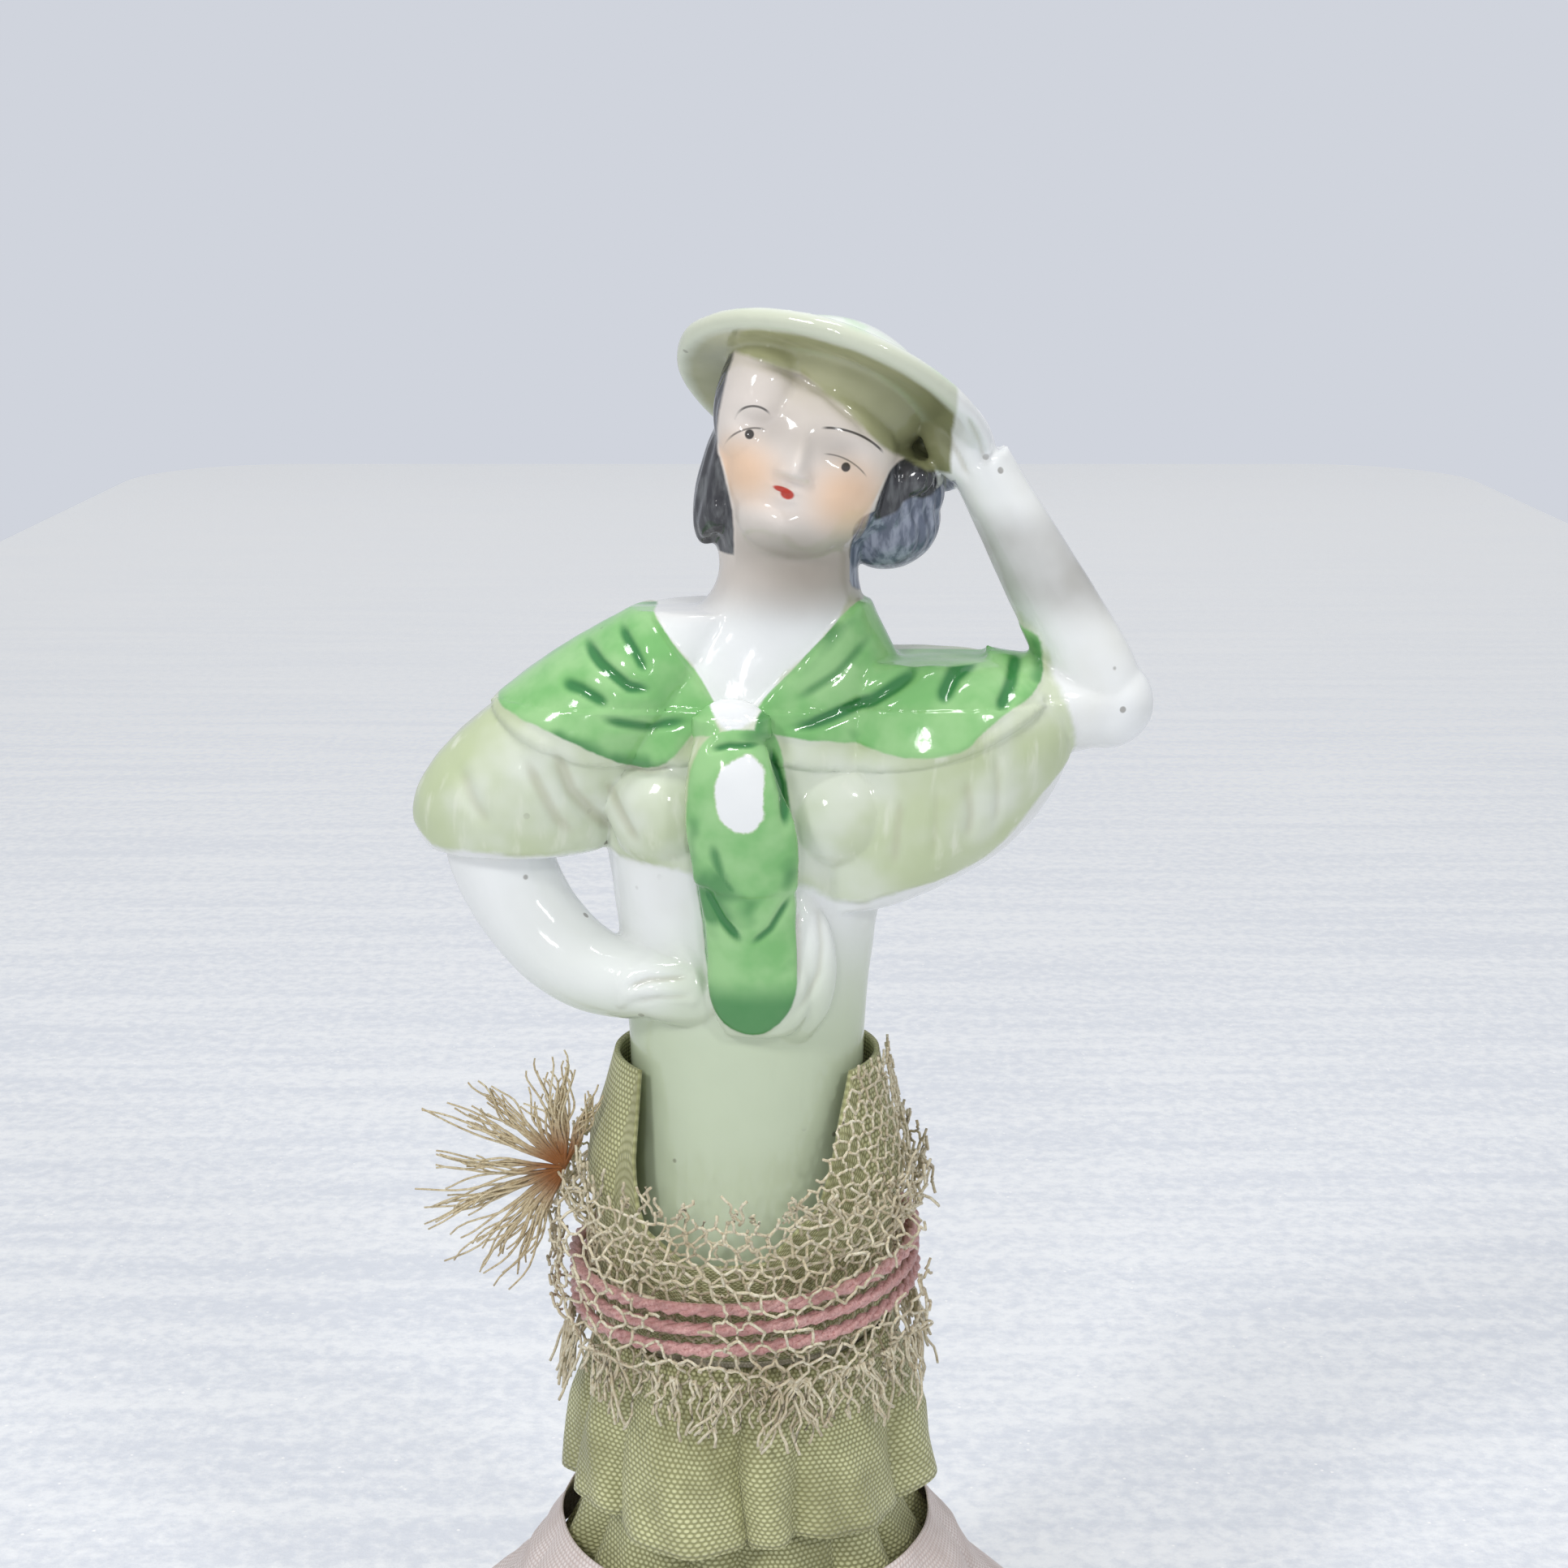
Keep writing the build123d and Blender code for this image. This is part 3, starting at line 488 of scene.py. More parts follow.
def shapeDoll():
    cast = bmesh.new()
    cast.from_mesh(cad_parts["half_doll"].data)
    for centre, sizes, tilt in clayLumps:
        lump = bmesh.ops.create_icosphere(cast, subdivisions=4, radius=1.0)["verts"]
        bmesh.ops.scale(cast, vec=Vector(sizes) * mm, verts=lump)
        bmesh.ops.rotate(cast, matrix=Euler((0, math.radians(tilt), 0)).to_matrix(), verts=lump)
        bmesh.ops.translate(cast, vec=Vector(centre) * mm, verts=lump)
    bmesh.ops.remove_doubles(cast, verts=cast.verts, dist=0.002 * mm)
    raw = bpy.data.meshes.new("dollCast")
    cast.to_mesh(raw)
    cast.free()
    dummy = bpy.data.objects.new("dollCast", raw)
    scene.collection.objects.link(dummy)
    remesh = dummy.modifiers.new("clay", "REMESH")
    remesh.mode = "VOXEL"
    remesh.voxel_size = doll["voxel"] * mm
    remesh.use_smooth_shade = True
    soften = dummy.modifiers.new("glazeFlow", "SMOOTH")
    soften.factor = 0.5
    soften.iterations = doll["softening"]
    mesh = bpy.data.meshes.new_from_object(dummy.evaluated_get(bpy.context.evaluated_depsgraph_get()))
    bpy.data.objects.remove(dummy)
    mesh.name = "glazedDoll"

    count = len(mesh.vertices)
    points = np.empty(count * 3)
    mesh.vertices.foreach_get("co", points)
    points = points.reshape(-1, 3) / mm
    normals = np.empty(count * 3)
    mesh.vertex_normals.foreach_get("vector", normals)
    normals = normals.reshape(-1, 3)
    flat = points[:, [0, 2]]
    front = softStep(-normals[:, 1], -0.1, 0.4) * softStep(points[:, 1], 2.0, 0.0)
    print("doll vertices", count)

    away = {name: outlineDistance(flat, rounded(line, 2)) for name, line in dollPlaces.items()}
    inward = np.zeros(count)
    # painted shade: each crease also darkens the paint along it, more where it is deeper, kept in the groove
    # layer
    creaseShade = np.zeros(count)
    for line, width, depth in creases:
        gap, along = polylineDistance(flat, line)
        groove = np.exp(-(gap / width) ** 2) * softStep(along, -0.02, 0.25) * softStep(along, 1.02, 0.7)
        inward += depth * groove
        creaseShade = np.maximum(creaseShade, groove * min(1.0, depth * 2.4))
    # the kerchief, the tie and the blouse's hem each stand a little above what they lie on
    kerchief = np.maximum(away["kerchiefLeft"], away["kerchiefRight"])
    proud = doll["kerchiefStands"] * softStep(kerchief, -0.45, 0.35)
    proud += 0.2 * softStep(away["tie"], -0.3, 0.3)
    hem = softStep(away["blouse"], -0.5, 0.4) * (points[:, 2] < 122)
    proud += 0.3 * hem
    proud += 0.25 * softStep(away["leftHand"], -0.5, 0.4)
    swell = ripple(points, 9.0, 4) * 0.09 + ripple(points, 3.4, 5) * 0.03
    # locks of hair: shallow strands that run down the side of the head
    head = softStep(points[:, 2], 134.5, 137.0)
    hatTurn = np.array(Euler([math.radians(a) for a in doll["hatTurn"]], "ZYX").to_matrix())
    local = (points - np.array(doll["hatMiddle"])) @ hatTurn
    rim = np.hypot(local[:, 0], local[:, 1])
    underside = -0.2 - 1.3 * np.clip((rim - 8.6) / 5.4, 0, 1)
    hat = local[:, 2] - underside + 0.55
    behind = softStep(points[:, 1], 1.5, 3.0)
    locks = np.maximum.reduce([away["bun"], away["blackCurl"],
                               np.where(points[:, 0] < 3, -away["face"], -2.0)])
    hair = np.maximum(softStep(locks, 0.0, 0.6), behind) * head * softStep(hat, 0.2, -0.6)
    hair *= softStep(points[:, 0], 19.0, 17.5)
    strands = np.sin((points[:, 0] * 0.8 + points[:, 1] * 1.3 + np.sin(points[:, 2] * 0.5) * 1.2) * 3.2)
    inward += 0.12 * strands * hair
    shift = front * (proud - inward) + swell * softStep(points[:, 2], 62.5, 66)
    moved = points + normals * shift[:, None]
    moved[:, 1] -= faceShape(points)
    moved[:, 0] = np.clip(moved[:, 0], *doll["sides"])
    moved[:, 2] = np.maximum(moved[:, 2], points[:, 2].min())
    mesh.vertices.foreach_set("co", (moved * mm).ravel())

    beneath = np.where(points[:, 1] < 2.5, away["underBrim"], -3.0)
    hat = np.maximum(hat, beneath)
    hat = np.where(points[:, 0] > 15.4, np.minimum(hat, 18.6 - points[:, 0]), hat)
    # hair stays off the raised arm and the neck
    lowest = np.where(points[:, 0] > 9.6, 131.0, 135.4)
    locks = np.where(points[:, 1] < 2.2, locks, 1.5)
    locks = np.minimum(locks, 20.0 - points[:, 0] - np.clip(points[:, 2] - 138.5, 0, 20) * 0.3)
    locks = np.minimum(locks, points[:, 2] - lowest)
    layers = {
        "kerchief": np.where(points[:, 1] < 3, kerchief, -2.0),
        "tie": np.where(points[:, 1] < 0, away["tie"], -2.0),
        "wornPatch": np.where(points[:, 1] < 0, away["wornPatch"], -2.0),
        "blouse": away["blouse"],
        "face": np.where(points[:, 1] < 2.2, away["face"], 2.2 - points[:, 1]),
        "neckOpening": away["neckOpening"],
        "blackCurl": away["blackCurl"],
        "hat": hat,
        "crown": local[:, 2],
        "locks": locks,
        "bun": np.where(points[:, 1] < 2.2, away["bun"], points[:, 0] - 9.5),
        "brimReach": rim,
        "groove": creaseShade * front,
    }
    for name, values in layers.items():
        attribute = mesh.attributes.new(name, "FLOAT", "POINT")
        attribute.data.foreach_set("value", values.astype(np.float32))
    mesh.shade_smooth()
    return mesh


def layer(tree, name):
    return put(tree, "ShaderNodeAttribute", {"attribute_name": name}).outputs["Fac"]


def fromCentre(group, given):
    # how far right of the centre and above it
    return [math2(group, "SUBTRACT", given[way], given["Centre " + way]) for way in ("Right", "Up")]


def reach(group, across, up):
    return math2(group, "SQRT", math2(group, "ADD", times(group, across, across), times(group, up, up)))


def makePaintedArc():
    # one thin brushed line along an arc, in the face's own right and up, in millimetres
    group, given, out = newGroup("paintedArc", floatSockets(
        Right=0.0, Up=0.0, Centre_Right=0.0, Centre_Up=0.0, Radius=1.0, Width=0.1, From=-1.0,
        To=1.0), ["Mask"])
    g = given.outputs
    across, up = fromCentre(group, g)
    gap = math2(group, "ABSOLUTE", math2(group, "SUBTRACT", reach(group, across, up), g["Radius"]))
    line = ramp(group, gap, g["Width"], times(group, g["Width"], 0.3))
    starts = ramp(group, g["Right"], g["From"], math2(group, "ADD", g["From"], 0.7))
    ends = ramp(group, g["Right"], g["To"], math2(group, "SUBTRACT", g["To"], 0.7))
    above = math2(group, "GREATER_THAN", up, 0.0)
    group.links.new(times(group, line, starts, ends, above), out.inputs["Mask"])
    return group


def makePaintedSpot():
    # a soft oval dab, in the same right and up
    group, given, out = newGroup("paintedSpot", floatSockets(
        Right=0.0, Up=0.0, Centre_Right=0.0, Centre_Up=0.0, Half_Width=1.0, Half_Height=1.0,
        Softness=0.2), ["Mask"])
    g = given.outputs
    across, up = fromCentre(group, g)
    across = math2(group, "DIVIDE", across, g["Half Width"])
    up = math2(group, "DIVIDE", up, g["Half Height"])
    outer, inner = (math2(group, way, 1.0, g["Softness"]) for way in ("ADD", "SUBTRACT"))
    group.links.new(ramp(group, reach(group, across, up), outer, inner), out.inputs["Mask"])
    return group


dollPaint = {
    "glaze": rgb(238, 240, 240),
    "blouse": rgb(192, 204, 164),
    "body": rgb(192, 206, 172),
    "kerchief": rgb(156, 204, 140),
    "kerchiefDark": rgb(60, 128, 70),
    "hatUnder": rgb(184, 184, 146),
    "hatTop": rgb(206, 228, 200),
    "skin": rgb(232, 222, 214),
    "blush": rgb(240, 200, 164),
    # painted shade, used on the neck and around the face
    "shade": rgb(112, 104, 88),
    "hair": rgb(58, 58, 62),
    "bun": rgb(98, 106, 124),
    "line": rgb(50, 46, 44),
    "lips": rgb(190, 44, 16),
}

# the face's brushwork in the order it is painted, over the face's own right and up in millimetres
brushwork = [
    # dabs: paint, strength, centre right and up, half width, half height, softness
    ("dab", "blush", 0.8, -4.2, -3.1, 3.0, 2.4, 0.75),
    ("dab", "blush", 0.8, 5.4, -2.7, 3.0, 2.7, 0.75),
    # painted shade: beside the nose in the eye sockets, under the hat's brim and under the chin
    ("dab", "shade", 0.2, -2.4, 1.4, 2.0, 1.4, 0.8),
    ("dab", "shade", 0.25, 2.6, 1.4, 2.2, 1.3, 0.8),
    ("dab", "shade", 0.4, 0.6, 6.6, 5.6, 0.9, 0.8),
    ("dab", "shade", 0.25, 0.2, -9.4, 5.5, 1.8, 0.8),
    # lid and brow lines: paint, strength, centre right and up, radius, width, from and to on the right
    ("stroke", "line", 0.85, -4.2, 0.9, 1.78, 0.15, -6.1, -3.0),
    ("stroke", "line", 0.7, -3.2, -2.2, 3.07, 0.12, -6.3, -3.0),
    ("stroke", "line", 0.9, 3.6, -3.9, 6.8, 0.15, 1.3, 7.5),
    ("stroke", "line", 0.6, 3.3, -4.5, 5.1, 0.1, 2.1, 6.6),
    ("dab", "line", 0.95, -4.36, 0.12, 0.4, 0.42, 0.18),
    ("dab", "line", 0.95, 4.41, -0.1, 0.4, 0.38, 0.18),
    ("dab", "lips", 0.95, -0.35, -3.45, 0.8, 0.26, 0.22),
    ("dab", "lips", 0.95, 0.2, -3.72, 0.6, 0.42, 0.22),
]


def makePorcelain():
    paint = dollPaint
    material, tree, shader = newMaterial("glazedPorcelain")
    place = position(tree)
    split = put(tree, "ShaderNodeSeparateXYZ", None, Vector=place)
    height = split.outputs["Z"]
    wander = times(tree, math2(tree, "SUBTRACT", noise(tree, place, 2.6, 4, 0.6), 0.5), 1.5)
    broad = noise(tree, place, 11, 3)

    def painted(name, soft, rough=1.0):
        # a brushed area: the signed distance, pushed about by noise, turned into a mask
        edge = math2(tree, "ADD", layer(tree, name), times(tree, wander, rough))
        return ramp(tree, edge, -soft, soft)

    colour = blend(tree, ramp(tree, broad, 0.35, 0.7), paint["glaze"], rgb(230, 231, 226))
    # the lower body is washed with pale green, stronger toward the waist
    body = ramp(tree, height, 106 * mm, 90 * mm)
    colour = blend(tree, times(tree, body, 0.85), colour, paint["body"])
    sleeves = times(tree, painted("blouse", 0.5), ramp(tree, broad, 0.3, 0.62, 0.45, 1.0))
    colour = blend(tree, sleeves, colour, paint["blouse"])
    # thin brushed streaks on the blouse
    streaks = put(tree, "ShaderNodeMapping", None, Vector=place, Scale=(1, 1, 0.22)).outputs[0]
    streaky = noise(tree, streaks, 1.5, 3)
    colour = blend(tree, times(tree, ramp(tree, streaky, 0.55, 0.75), sleeves, 0.5), colour,
                   rgb(236, 238, 224))
    arms = times(tree, ramp(tree, split.outputs["X"], -5 * mm, -9 * mm), 0.7,
                 ramp(tree, height, 107.8 * mm, 106.8 * mm), ramp(tree, height, 92 * mm, 97 * mm))
    colour = blend(tree, arms, colour, paint["glaze"])
    # skin above the neckline
    skin = times(tree, ramp(tree, height, 129 * mm, 134 * mm),
                 ramp(tree, split.outputs["X"], 17 * mm, 15 * mm))
    colour = blend(tree, painted("neckOpening", 0.3), colour, paint["glaze"])
    colour = blend(tree, skin, colour, paint["skin"])
    # painted shade over the neck below the chin, stronger toward the right
    inNeck = ramp(tree, split.outputs["X"], -3 * mm, 6 * mm, 0.25, 1.0)
    neckShade = times(tree, ramp(tree, height, 127.5 * mm, 133 * mm),
                      ramp(tree, height, 140.5 * mm, 136 * mm),
                      ramp(tree, broad, 0.25, 0.6, 0.6, 1.0), inNeck, 0.6)
    colour = blend(tree, neckShade, colour, paint["shade"])
    # kerchief and tie
    green = blend(tree, ramp(tree, noise(tree, place, 5, 3), 0.35, 0.68), paint["kerchief"],
                  rgb(124, 186, 112))
    # painted shade: the green darkens in the modelled creases; it also darkens toward the tie's lower end
    # and in patches along the kerchief's edge
    dark = math2(tree, "MAXIMUM", ramp(tree, layer(tree, "groove"), 0.12, 0.75),
                 times(tree, ramp(tree, height, 98.6 * mm, 95.4 * mm), 0.85))
    rimOf = ramp(tree, layer(tree, "kerchief"), 1.5, 0.2)
    dark = math2(tree, "MAXIMUM", dark, times(tree, rimOf,
                                              ramp(tree, noise(tree, place, 6, 2), 0.5, 0.66, 0.0, 0.8)))
    green = blend(tree, dark, green, paint["kerchiefDark"])
    cloth = math2(tree, "MAXIMUM", painted("kerchief", 0.14, rough=0.35), painted("tie", 0.14, rough=0.3))
    worn = painted("wornPatch", 0.16, rough=0.8)
    colour = blend(tree, worn, colour, paint["glaze"])
    cloth = times(tree, cloth, math2(tree, "SUBTRACT", 1.0, worn))
    # painted shade: the glaze darkens to olive grey along the creases
    colour = blend(tree, times(tree, ramp(tree, layer(tree, "groove"), 0.2, 0.9), 0.4), colour,
                   rgb(172, 168, 140))
    colour = blend(tree, cloth, colour, green)
    # the hat: a mossy underside and a paler, minty top
    hatMask = ramp(tree, math2(tree, "ADD", layer(tree, "hat"), times(tree, wander, 0.3)), -0.25, 0.25)
    top = ramp(tree, layer(tree, "crown"), -0.6, 0.5)
    mossy = blend(tree, ramp(tree, broad, 0.4, 0.7), paint["hatUnder"], rgb(156, 158, 118))
    # painted shade: the underside darkens toward the right
    mossy = blend(tree, ramp(tree, split.outputs["X"], 6 * mm, 20 * mm), mossy, rgb(132, 134, 98))
    lip = ramp(tree, math2(tree, "ADD", layer(tree, "brimReach"), times(tree, wander, 0.4)), 12.9, 14.2)
    mossy = blend(tree, times(tree, lip, 0.7), mossy, rgb(224, 230, 214))
    minty = blend(tree, ramp(tree, noise(tree, place, 6, 3), 0.42, 0.6), rgb(232, 237, 230), paint["hatTop"])
    hatColour = blend(tree, top, mossy, minty)
    # hair, and the bun behind it
    hairMask = painted("locks", 0.15, rough=0.22)
    hairStreaks = put(tree, "ShaderNodeMapping", None, Vector=place, Scale=(1, 1, 0.25),
                      Rotation=(0, 0.4, 0)).outputs[0]
    hairLines = noise(tree, hairStreaks, 0.8, 3)
    black = blend(tree, ramp(tree, hairLines, 0.45, 0.75), paint["hair"], rgb(104, 106, 108))
    # the bun's paler streaks are brush streaks and painted highlights
    bunColour = blend(tree, ramp(tree, hairLines, 0.4, 0.65), paint["bun"], rgb(156, 162, 178))
    bunSide = times(tree, painted("bun", 0.25, rough=0.3), ramp(tree, layer(tree, "blackCurl"), 0.2, -0.2))
    colour = blend(tree, hairMask, colour, blend(tree, bunSide, black, bunColour))
    colour = blend(tree, hatMask, colour, hatColour)

    # the painted face, in its own right and up
    faceX, faceZ = doll["faceMiddle"]
    centred = put(tree, "ShaderNodeVectorMath", {"operation": "SUBTRACT"}, in0=place,
                  in1=(faceX * mm, 0, faceZ * mm)).outputs[0]
    axes = []
    for across, up in (doll["faceRight"], doll["faceUp"]):
        axes.append(put(tree, "ShaderNodeVectorMath", {"operation": "DOT_PRODUCT"}, in0=centred,
                        in1=(across / mm, 0, up / mm)).outputs["Value"])
    right, up = axes
    onFace = times(tree, ramp(tree, layer(tree, "face"), 0.0, 0.3),
                   ramp(tree, split.outputs["Y"], -2 * mm, -3 * mm),
                   ramp(tree, layer(tree, "hat"), 0.1, -0.1))
    tools = {
        "dab": (makePaintedSpot(), ("Centre_Right", "Centre_Up", "Half_Width", "Half_Height", "Softness")),
        "stroke": (makePaintedArc(), ("Centre_Right", "Centre_Up", "Radius", "Width", "From", "To")),
    }
    for kind, tone, strength, *sizes in brushwork:
        group, labels = tools[kind]
        mask = useGroup(tree, group, Right=right, Up=up, **dict(zip(labels, sizes))).outputs[0]
        colour = blend(tree, times(tree, mask, strength, onFace), colour, paint[tone])

    # soot-like specks and age stains
    dots = put(tree, "ShaderNodeTexVoronoi", None, Vector=place, Scale=300.0)
    speck = times(tree, ramp(tree, dots.outputs["Distance"], 0.11, 0.07),
                  ramp(tree, noise(tree, place, 14, 2), 0.56, 0.66))
    colour = blend(tree, times(tree, speck, 0.6), colour, rgb(90, 80, 64))
    tree.links.new(colour, shader.inputs["Base Color"])
    shader.inputs["Roughness"].default_value = 0.1
    shader.inputs["Specular IOR Level"].default_value = 0.5
    fine = put(tree, "ShaderNodeBump", None, Height=noise(tree, place, 1.6, 3), Strength=0.25,
               Distance=0.12 * mm)
    tree.links.new(fine.outputs[0], shader.inputs["Normal"])
    return material


def buildDoll():
    mesh = shapeDoll()
    mesh.materials.clear()
    mesh.materials.append(makePorcelain())
    addPiece("glazedDoll", mesh, "half_doll")


buildDoll()
print("doll ready")


bell = {"neck": 12.9, "skirt": 34.0, "fullAt": 9.0, "slimAt": 41.0, "tuck": 4.4}


def bellRadius(z):
    # the stuffed skirt's outer radius at a height, in millimetres
    z = np.asarray(z, float)
    share = np.clip((z - bell["fullAt"]) / (bell["slimAt"] - bell["fullAt"]), 0, 1)
    upper = bell["neck"] + (bell["skirt"] - bell["neck"]) * (1 + np.cos(math.pi * share)) / 2
    drop = np.clip((bell["fullAt"] - z) / bell["fullAt"], 0, 1)
    return upper - bell["tuck"] * (1 - np.sqrt(1 - drop * drop))


def foldWave(angle, folds, turn):
    # rounded folds, 0 in each crease and about 1 on each crown, unevenly spaced as gathers are
    degrees = np.degrees(angle)
    wave = np.zeros(len(degrees))
    for fold in range(folds):
        start = 360 / folds * (fold + 0.22 * math.sin(2.6 * fold)) + turn
        end = 360 / folds * (fold + 1 + 0.22 * math.sin(2.6 * ((fold + 1) % folds))) + turn
        t = ((degrees - start) % 360) / (end - start)
        inside = t <= 1
        crown = 4 * t[inside] * (1 - t[inside])
        wave[inside] = crown**0.8 * (1 + 0.35 * math.sin(1.9 * fold + turn))
    return wave


def gridFaces(rows, columns, closed):
    down = np.arange(rows - 1)[:, None] * columns
    across = np.arange(columns if closed else columns - 1)[None, :]
    following = (across + 1) % columns
    corners = (down + across, down + following, down + columns + following, down + columns + across)
    return np.stack(corners, 2).reshape(-1, 4)


def clothMesh(name, grid, closed=True):
    # a grid of points (rows x columns x 3, millimetres) as cloth, with its flat lie in millimetres as the
    # UV map
    rows, columns, _ = grid.shape
    faces = gridFaces(rows, columns, closed)
    mesh = meshFrom(name, grid.reshape(-1, 3), faces)
    along = np.linalg.norm(np.diff(grid, axis=1, append=grid[:, :1] if closed else grid[:, -1:]),
                           axis=2).mean(axis=0)
    u = np.concatenate([[0], np.cumsum(along)])
    v = np.concatenate([[0], np.cumsum(np.linalg.norm(np.diff(grid, axis=0), axis=2).mean(axis=1))])
    layout = mesh.uv_layers.new(name="flatLie")
    down, across = faces // columns, faces % columns
    wrapped = (across == 0) & (across[:, :1] == columns - 1)
    us = u[np.where(wrapped, columns, across)]
    vs = v[down]
    layout.data.foreach_set("uv", (np.stack([us, vs], 2) * 0.1).reshape(-1).astype(np.float32))
    return mesh


def thicken(piece, thickness):
    # half to each side of the cloth's middle surface
    solid = piece.modifiers.new("thickness", "SOLIDIFY")
    solid.thickness = thickness * mm
    solid.offset = 0
    solid.use_even_offset = False
    applyModifiers(piece)


def applyModifiers(piece):
    # bakes the modifiers into the mesh
    old = piece.data
    mesh = bpy.data.meshes.new_from_object(piece.evaluated_get(bpy.context.evaluated_depsgraph_get()))
    piece.modifiers.clear()
    piece.data = mesh
    bpy.data.meshes.remove(old)
    piece.data.shade_smooth()


def tubeMesh(name, paths, radii, sides=5):
    # round threads along paths; each radius is one number or one for each point of its path
    points, faces = [], []
    start = 0
    turns = np.linspace(0, 2 * math.pi, sides, endpoint=False)
    for path, radius in zip(paths, radii):
        path = np.asarray(path, float)
        count = len(path)
        way = np.gradient(path, axis=0)
        way /= np.linalg.norm(way, axis=1)[:, None] + 1e-12
        side = np.cross(way, [0.13, 0.27, 0.95])
        side /= np.linalg.norm(side, axis=1)[:, None] + 1e-12
        other = np.cross(way, side)
        around = side[:, None] * np.cos(turns)[None, :, None] + other[:, None] * np.sin(turns)[None, :, None]
        radius = np.broadcast_to(np.asarray(radius, float), (count,))
        points.append((path[:, None] + around * radius[:, None, None]).reshape(-1, 3))
        faces.extend((gridFaces(count, sides, True) + start).tolist())
        faces.append(list(range(start, start + sides))[::-1])
        faces.append(list(range(start + (count - 1) * sides, start + count * sides)))
        start += count * sides
    return meshFrom(name, np.vstack(points), faces)


def makeWeave():
    # a plain weave: glossy floats of one thread over the next, every other row offset by half a pitch
    sockets = [("Lie", "NodeSocketVector", None)] + floatSockets(Pitch=0.62, Stretch=1.4, Loosen=0.1)
    group, given, out = newGroup("weave", sockets, ["Height", "Float"])
    g = given.outputs
    wander = put(group, "ShaderNodeTexNoise", None, Vector=g["Lie"], Scale=6.0, Detail=2.0)
    shift = put(group, "ShaderNodeVectorMath", {"operation": "SCALE"}, in0=wander.outputs["Color"],
                Scale=g["Loosen"])
    moved = put(group, "ShaderNodeVectorMath", {"operation": "ADD"}, in0=g["Lie"],
                in1=shift.outputs[0]).outputs[0]
    split = put(group, "ShaderNodeSeparateXYZ", None, Vector=moved)
    step = times(group, g["Pitch"], 0.1)
    across = math2(group, "DIVIDE", split.outputs["X"], times(group, step, g["Stretch"]))
    down = math2(group, "DIVIDE", split.outputs["Y"], step)
    row = math2(group, "FLOOR", down)
    offset = times(group, math2(group, "MODULO", row, 2.0), 0.5)
    inRow = math2(group, "SUBTRACT", math2(group, "FRACT", down), 0.5)
    inColumn = math2(group, "SUBTRACT", math2(group, "FRACT", math2(group, "ADD", across, offset)), 0.5)
    squares = math2(group, "ADD", math2(group, "POWER", times(group, inRow, 2.0), 2.0),
                    math2(group, "POWER", times(group, inColumn, 2.1), 2.0))
    height = ramp(group, squares, 1.25, 0.0)
    top = ramp(group, squares, 0.75, 0.15)
    group.links.new(height, out.inputs["Height"])
    group.links.new(top, out.inputs["Float"])
    return group


def makeAgeing():
    # uneven fading and handling dirt over cloth, thread and card
    sockets = [("Place", "NodeSocketVector", None)] + floatSockets(Size=120.0, Amount=0.5)
    group, given, out = newGroup("ageing", sockets, ["Mask"])
    g = given.outputs
    cloud = put(group, "ShaderNodeTexNoise", None, Vector=g["Place"], Scale=g["Size"], Detail=4.0,
                Roughness=0.6)
    mask = ramp(group, cloud.outputs["Fac"], 0.4, 0.7)
    group.links.new(times(group, mask, g["Amount"]), out.inputs["Mask"])
    return group


weaveGroup = makeWeave()
ageingGroup = makeAgeing()


def wovenMaterial(name, tone, floats, agedAndShaded, pitch, gloss, relief, loosen=0.1):
    material, tree, shader = newMaterial(name)
    coordinates = put(tree, "ShaderNodeTexCoord")
    weave = useGroup(tree, weaveGroup, Lie=coordinates.outputs["UV"], Pitch=pitch, Stretch=1.3,
                     Loosen=loosen * 0.1)
    aging = useGroup(tree, ageingGroup, Place=coordinates.outputs["Object"], Size=110.0, Amount=0.6)
    # painted sheen and shade: the thread floats take the paler colour and the hollows between them darken,
    # while the ageing cloud adds real fading and dirt in the same darker colour
    threads = blend(tree, weave.outputs["Float"], tone, floats)
    valleys = times(tree, ramp(tree, weave.outputs["Height"], 0.4, 0.0), 0.55)
    threads = blend(tree, valleys, threads, agedAndShaded)
    colour = blend(tree, aging.outputs["Mask"], threads, agedAndShaded)
    tree.links.new(colour, shader.inputs["Base Color"])
    tree.links.new(ramp(tree, weave.outputs["Float"], 0.0, 1.0, gloss + 0.3, gloss),
                   shader.inputs["Roughness"])
    shader.inputs["Sheen Weight"].default_value = 0.15
    bump = put(tree, "ShaderNodeBump", None, Height=weave.outputs["Height"], Strength=0.8,
               Distance=relief * mm)
    tree.links.new(bump.outputs[0], shader.inputs["Normal"])
    return material


def threadMaterial(name, tone, light, dark, gloss, twist=0.5):
    # spun or laid thread: fine streaks with pale fibres and darker hollows
    material, tree, shader = newMaterial(name)
    place = position(tree)
    fibres = noise(tree, place, twist, 4, 0.7)
    aging = useGroup(tree, ageingGroup, Place=place, Size=160.0, Amount=0.55)
    colour = blend(tree, ramp(tree, fibres, 0.42, 0.68), tone, light)
    colour = blend(tree, ramp(tree, fibres, 0.46, 0.3), colour, dark)
    colour = blend(tree, aging.outputs["Mask"], colour, dark)
    tree.links.new(colour, shader.inputs["Base Color"])
    shader.inputs["Roughness"].default_value = gloss
    shader.inputs["Sheen Weight"].default_value = 0.2
    bump = put(tree, "ShaderNodeBump", None, Height=fibres, Strength=0.7, Distance=0.15 * mm)
    tree.links.new(bump.outputs[0], shader.inputs["Normal"])
    return material


